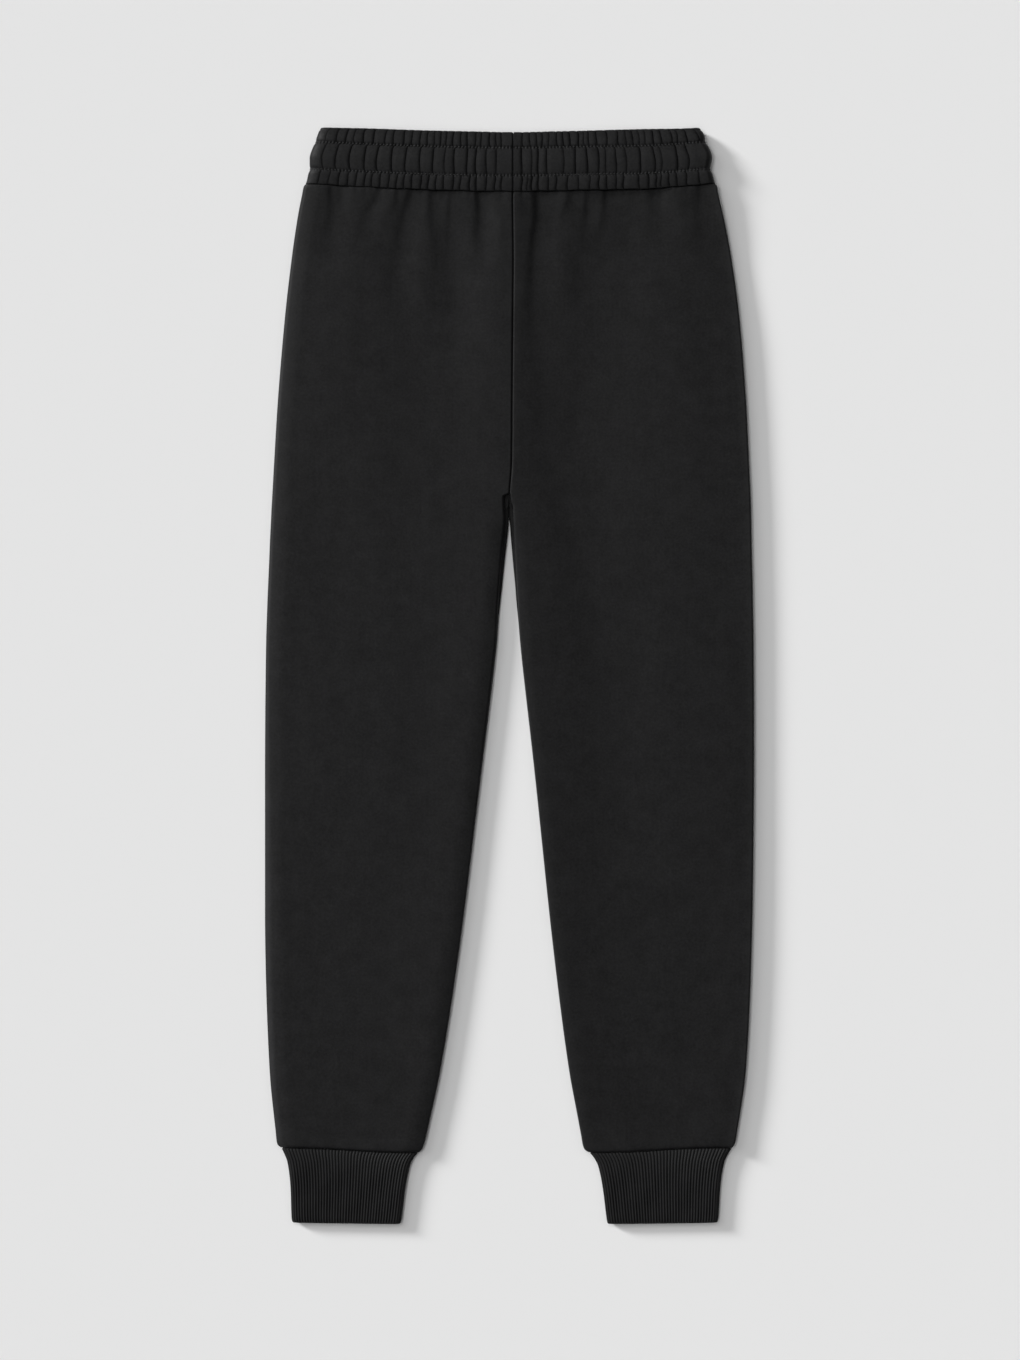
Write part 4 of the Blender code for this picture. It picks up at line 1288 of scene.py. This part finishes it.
def stitch_row(row, leans, shares, settings):
    """Centre lines and outward directions of one row of stitches along a row of the band's skin."""
    start, step, count = stitch_places(band_outline(STITCH_ROWS[0]), settings)
    steps = np.linspace(-0.5, 0.5, STITCH_STEPS)
    middles = start + step * (np.arange(count) + 0.5)
    places = middles[:, None] + steps[None, :] * step * settings.stitch_length / settings.stitch_pitch
    centres = np.stack([np.interp(places, shares, column) for column in row.T], axis=-1)
    outwards = np.stack([np.interp(places, shares, column) for column in leans.T], axis=-1)
    outwards /= np.linalg.norm(outwards, axis=-1, keepdims=True)
    straight = centres[:, :1] + (centres[:, -1:] - centres[:, :1]) * (steps + 0.5)[None, :, None]
    centres = 0.5 * centres + 0.5 * straight
    lift = STITCH_RISE * np.cos(math.pi * steps) ** 0.8 - STITCH_SINK
    return centres + outwards * lift[None, :, None], outwards


def cuff_outline(rows, side, down, inset=0.0):
    """A cuff's outline at a distance below the hem, with its slit at the inseam."""
    outer, inner, height = (read(rows, column, down) for column in ("outer", "inner", "height"))
    left, right = sorted((outer, inner))
    return outline(left, right, height, CUFF_ROLL, "right" if side < 0 else "left", inset)


def cuff_grid(rows, side, courses, shares, settings, is_inner):
    """Points over one skin of a cuff. Its ribs are raised between narrow valleys."""
    hem = SECTIONS[-1].down + SEAM_GAP
    grid = []
    count = settings.rib_count
    for course in courses:
        down = min(max(course.down, CUFF_HEM), rows[-1].down - CUFF_FOLD)
        points = points_along(cuff_outline(rows, side, down, course.inset), shares)
        x, z, lean_x, lean_z = points.T
        sunk = np.zeros_like(x)
        if not is_inner:
            from_valley = np.abs((shares * count + 0.5) % 1.0 - 0.5)
            open_ribs = RIBS_AT_HEM + (1 - RIBS_AT_HEM) * ease(course.down / RIBS_OPEN)
            uneven = 1 + 0.12 * np.sin(shares * count * 1.7)
            uneven = uneven + 0.1 * np.sin(course.down / 7.0 + shares * 40.0)
            sunk = settings.rib_depth / MM * open_ribs * uneven * bell(from_valley, RIB_VALLEY)
            sunk += rolled(np.minimum(shares, 1 - shares) * CUFF_ROUND, SLIT_ROLL)
        out = math.cos(course.facing)
        slant = 1 - np.clip(course.down / rows[-1].down, 0.0, 1.0)
        from_inner = np.clip((x - rows[-1].inner) / (rows[-1].outer - rows[-1].inner), 0.0, 1.0)
        y = (LENGTH / 2 - hem - course.down - slant * hem_slant(x, side, SECTIONS[-1].down)
             + (1 - slant) * (CUFF_CURVE * from_inner ** 2 + CUFF_LIFT)
             - sunk * math.sin(course.facing) * RIBS_AT_EDGE)
        grid.append(np.stack([x - sunk * lean_x * out, y, z - sunk * lean_z * out], axis=-1))
    return np.array(grid)


def cuff_courses(rows, settings):
    """A cuff's rows from inside the hem seam, over its face, to inside its folded edge."""
    bottom = rows[-1].down
    top = [Course(-UNDERLAP, UNDERLAP_INSET, 0.0), Course(CUFF_TOP, UNDERLAP_INSET, 0.0)]
    top += edge_courses(CUFF_TOP, CUFF_HEM, 4, True, QUARTER)
    face = spaced(CUFF_TOP + CUFF_HEM, bottom - CUFF_FOLD, settings.row_pitch / MM)
    fold = edge_courses(bottom, CUFF_FOLD, 8, False, CUFF_FOLD_TURN)
    return top + [Course(down, 0.0, 0.0) for down in face] + fold


# Operators

class GARMENT_OT_waistband(bpy.types.Operator):
    """Build the gathered waistband and its two rows of stitching"""

    bl_idname = "garment.waistband"
    bl_label = "Waistband"

    def execute(self, context):
        garment = context.scene.garment
        settings = garment.waistband
        around = band_outline(BAND_FULLEST)
        shares = shares_round(around, settings.column_pitch / MM, UNDERNEATH_COARSER)
        courses = band_courses(settings)
        outer, leans = band_grid(courses, shares, settings, False)
        plain = [Course(down, (read(WAISTBAND, "height", down) - BAND_HOLLOW) / 2, 0.0)
                 for down in BAND_PLAIN_ROWS]
        plain.append(Course(BAND_DEPTH - BAND_INNER_END, BAND_HEM_WALL, 0.0))
        inner, _ = band_grid(plain, shares_round(around, PLAIN_PITCH, 1), settings, True)
        band = wall("waistband_cloth", outer, inner, finish_of("waistband_jersey", garment.finish))
        dress(band, "waistband", "waistband")

        threads = []
        for down in STITCH_ROWS:
            index = next(number for number, course in enumerate(courses) if course.down == down)
            threads.append(stitch_row(outer[index], leans[index], shares, settings))
        centres, outwards = (np.concatenate(part) for part in zip(*threads))
        tapers = np.sin(math.pi * np.linspace(*STITCH_TAPER, STITCH_STEPS)) ** 0.5
        radii = settings.thread_radius / MM * tapers
        points, faces = tube_pieces(centres, outwards, radii, THREAD_SIDES)
        stitching = piece_from("waistband_stitching", (points * MM).tolist(), faces,
                               finish_of("sewing_thread", garment.finish), THREAD_SHARP)
        dress(stitching, "waistband")
        return {"FINISHED"}


class GARMENT_OT_front_legs(bpy.types.Operator):
    """Build the front panels, which lie underneath"""

    bl_idname = "garment.front_legs"
    bl_label = "Front Legs"

    def execute(self, context):
        garment = context.scene.garment
        for leg in LEGS:
            piece = panel(leg, False, garment.legs, finish_of("fleece_jersey", garment.finish))
        return {"FINISHED"}


class GARMENT_OT_back_legs(bpy.types.Operator):
    """Build the back panels with their soft folds"""

    bl_idname = "garment.back_legs"
    bl_label = "Back Legs"

    def execute(self, context):
        garment = context.scene.garment
        for leg in LEGS:
            piece = panel(leg, True, garment.legs, finish_of("fleece_jersey", garment.finish))
        return {"FINISHED"}


class GARMENT_OT_cuffs(bpy.types.Operator):
    """Build the two ribbed cuffs"""

    bl_idname = "garment.cuffs"
    bl_label = "Cuffs"

    def execute(self, context):
        garment = context.scene.garment
        settings = garment.cuffs
        for leg, rows in zip(LEGS, (LEFT_CUFF, RIGHT_CUFF)):
            around = cuff_outline(rows, leg.side, CUFF_MIDDLE)
            columns = settings.rib_count * settings.rib_columns
            shares = np.arange(columns + 1) / columns
            outer = cuff_grid(rows, leg.side, cuff_courses(rows, settings), shares, settings, False)
            plain = [Course(CUFF_TOP - UNDERLAP, UNDERLAP_INSET + UNDERLAP_WALL, 0.0)]
            for down in (*CUFF_PLAIN_ROWS, rows[-1].down - CUFF_PLAIN_END):
                plain.append(Course(down, (read(rows, "height", down) - CUFF_HOLLOW) / 2, 0.0))
            inner = cuff_grid(rows, leg.side, plain, shares_round(around, PLAIN_PITCH, 1), settings, True)
            name = f"{leg.name}_cuff"
            piece = wall(f"{name}_cloth", outer, inner, finish_of("rib_knit", garment.finish))
            dress(piece, "rib", name)
        return {"FINISHED"}


# Soft lights, as shares of the light that reaches the floor. "towards" is the direction round from +X
# that the light comes from, and "size" is how wide it is, all in degrees.
Light = namedtuple("Light", "name towards elevation size share")
LIGHTS = (
    Light("key_light", 150.0, 17.0, 12.0, 0.41),
    Light("side_light", 150.0, 38.0, 30.0, 0.13),
    Light("high_light", 165.0, 70.0, 14.0, 0.17),
    Light("back_light", 100.0, 60.0, 30.0, 0.13),
    Light("front_light", 235.0, 66.0, 30.0, 0.12),
    Light("fill_light", 20.0, 50.0, 40.0, 0.04),
)
LIGHT_DISTANCE = 3.0
WORLD_COLOUR = (0.9, 0.9, 0.9, 1.0)
WORLD_STRENGTH = 0.04
FLOOR_HALF = 30.0         # half the width of the floor
FLOOR_DROP = 0.0002       # how far it lies below the garment
VIEW_MIDDLE = Vector((0.00045, -0.00425, 0.005))
SENSOR_WIDTH = 36.0


class GARMENT_OT_stage(bpy.types.Operator):
    """Build the floor, the lights and the camera"""

    bl_idname = "garment.stage"
    bl_label = "Stage"

    def floor(self, settings):
        material, build = blank_finish("pale_floor")
        grain = build.noise(build.place(), 30.0, 3.0)
        build.finish({
            "Base Color": build.shades(settings.floor, 0.002, grain),
            "Roughness": 1.0,
            "Specular IOR Level": 0.0,
        })
        mesh = bmesh.new()
        bmesh.ops.create_grid(mesh, x_segments=4, y_segments=4, size=FLOOR_HALF)
        data = bpy.data.meshes.new("floor")
        mesh.to_mesh(data)
        mesh.free()
        data.materials.append(material)
        floor = bpy.data.objects.new("floor", data)
        floor.location.z = -FLOOR_DROP
        bpy.context.scene.collection.objects.link(floor)

    def lamps(self, settings):
        for light in LIGHTS:
            lamp = bpy.data.lights.new(light.name, "SUN")
            upwards = math.radians(light.elevation)
            round_to = math.radians(light.towards)
            lamp.angle = math.radians(light.size)
            lamp.energy = settings.light * light.share / math.sin(upwards)
            lamp_object = bpy.data.objects.new(light.name, lamp)
            direction = Vector((math.cos(round_to) * math.cos(upwards),
                                math.sin(round_to) * math.cos(upwards), math.sin(upwards)))
            lamp_object.rotation_euler = direction.to_track_quat("Z", "Y").to_euler()
            lamp_object.location = direction * LIGHT_DISTANCE
            bpy.context.scene.collection.objects.link(lamp_object)

    def camera(self, settings):
        data = bpy.data.cameras.new("camera")
        data.lens = settings.lens
        data.sensor_width = SENSOR_WIDTH
        camera = bpy.data.objects.new("camera", data)
        distance = settings.view_height * data.lens / data.sensor_width
        camera.location = VIEW_MIDDLE + Vector((0.0, 0.0, distance))
        bpy.context.scene.collection.objects.link(camera)
        bpy.context.scene.camera = camera

    def execute(self, context):
        scene = context.scene
        settings = scene.garment.stage
        self.floor(settings)
        self.lamps(settings)
        self.camera(settings)
        scene.view_settings.view_transform = "Standard"
        world = bpy.data.worlds.new("studio")
        world.use_nodes = True
        background = world.node_tree.nodes["Background"]
        background.inputs["Color"].default_value = WORLD_COLOUR
        background.inputs["Strength"].default_value = WORLD_STRENGTH
        scene.world = world
        return {"FINISHED"}


class GARMENT_PT_panel(bpy.types.Panel):
    """The garment's operators and settings, in the 3D view's sidebar"""

    bl_idname = "GARMENT_PT_panel"
    bl_label = "Jogger Sweatpants"
    bl_space_type = "VIEW_3D"
    bl_region_type = "UI"
    bl_category = "Garment"

    def draw(self, context):
        for operator in OPERATORS:
            self.layout.operator(operator.bl_idname)
        garment = context.scene.garment
        for name, group in SETTINGS.items():
            box = self.layout.box()
            box.label(text=name.capitalize())
            for setting in group.__annotations__:
                box.prop(getattr(garment, name), setting)


OPERATORS = (
    GARMENT_OT_front_legs,
    GARMENT_OT_back_legs,
    GARMENT_OT_waistband,
    GARMENT_OT_cuffs,
    GARMENT_OT_stage,
)
CLASSES = (*SETTINGS.values(), GarmentSettings, *OPERATORS, GARMENT_PT_panel)


def register():
    for item in CLASSES:
        bpy.utils.register_class(item)
    bpy.types.Scene.garment = PointerProperty(type=GarmentSettings)


def unregister():
    del bpy.types.Scene.garment
    for item in reversed(CLASSES):
        bpy.utils.unregister_class(item)


def main():
    register()
    bpy.ops.garment.front_legs()
    bpy.ops.garment.back_legs()
    bpy.ops.garment.waistband()
    bpy.ops.garment.cuffs()
    bpy.ops.garment.stage()


if __name__ == "__main__":
    main()
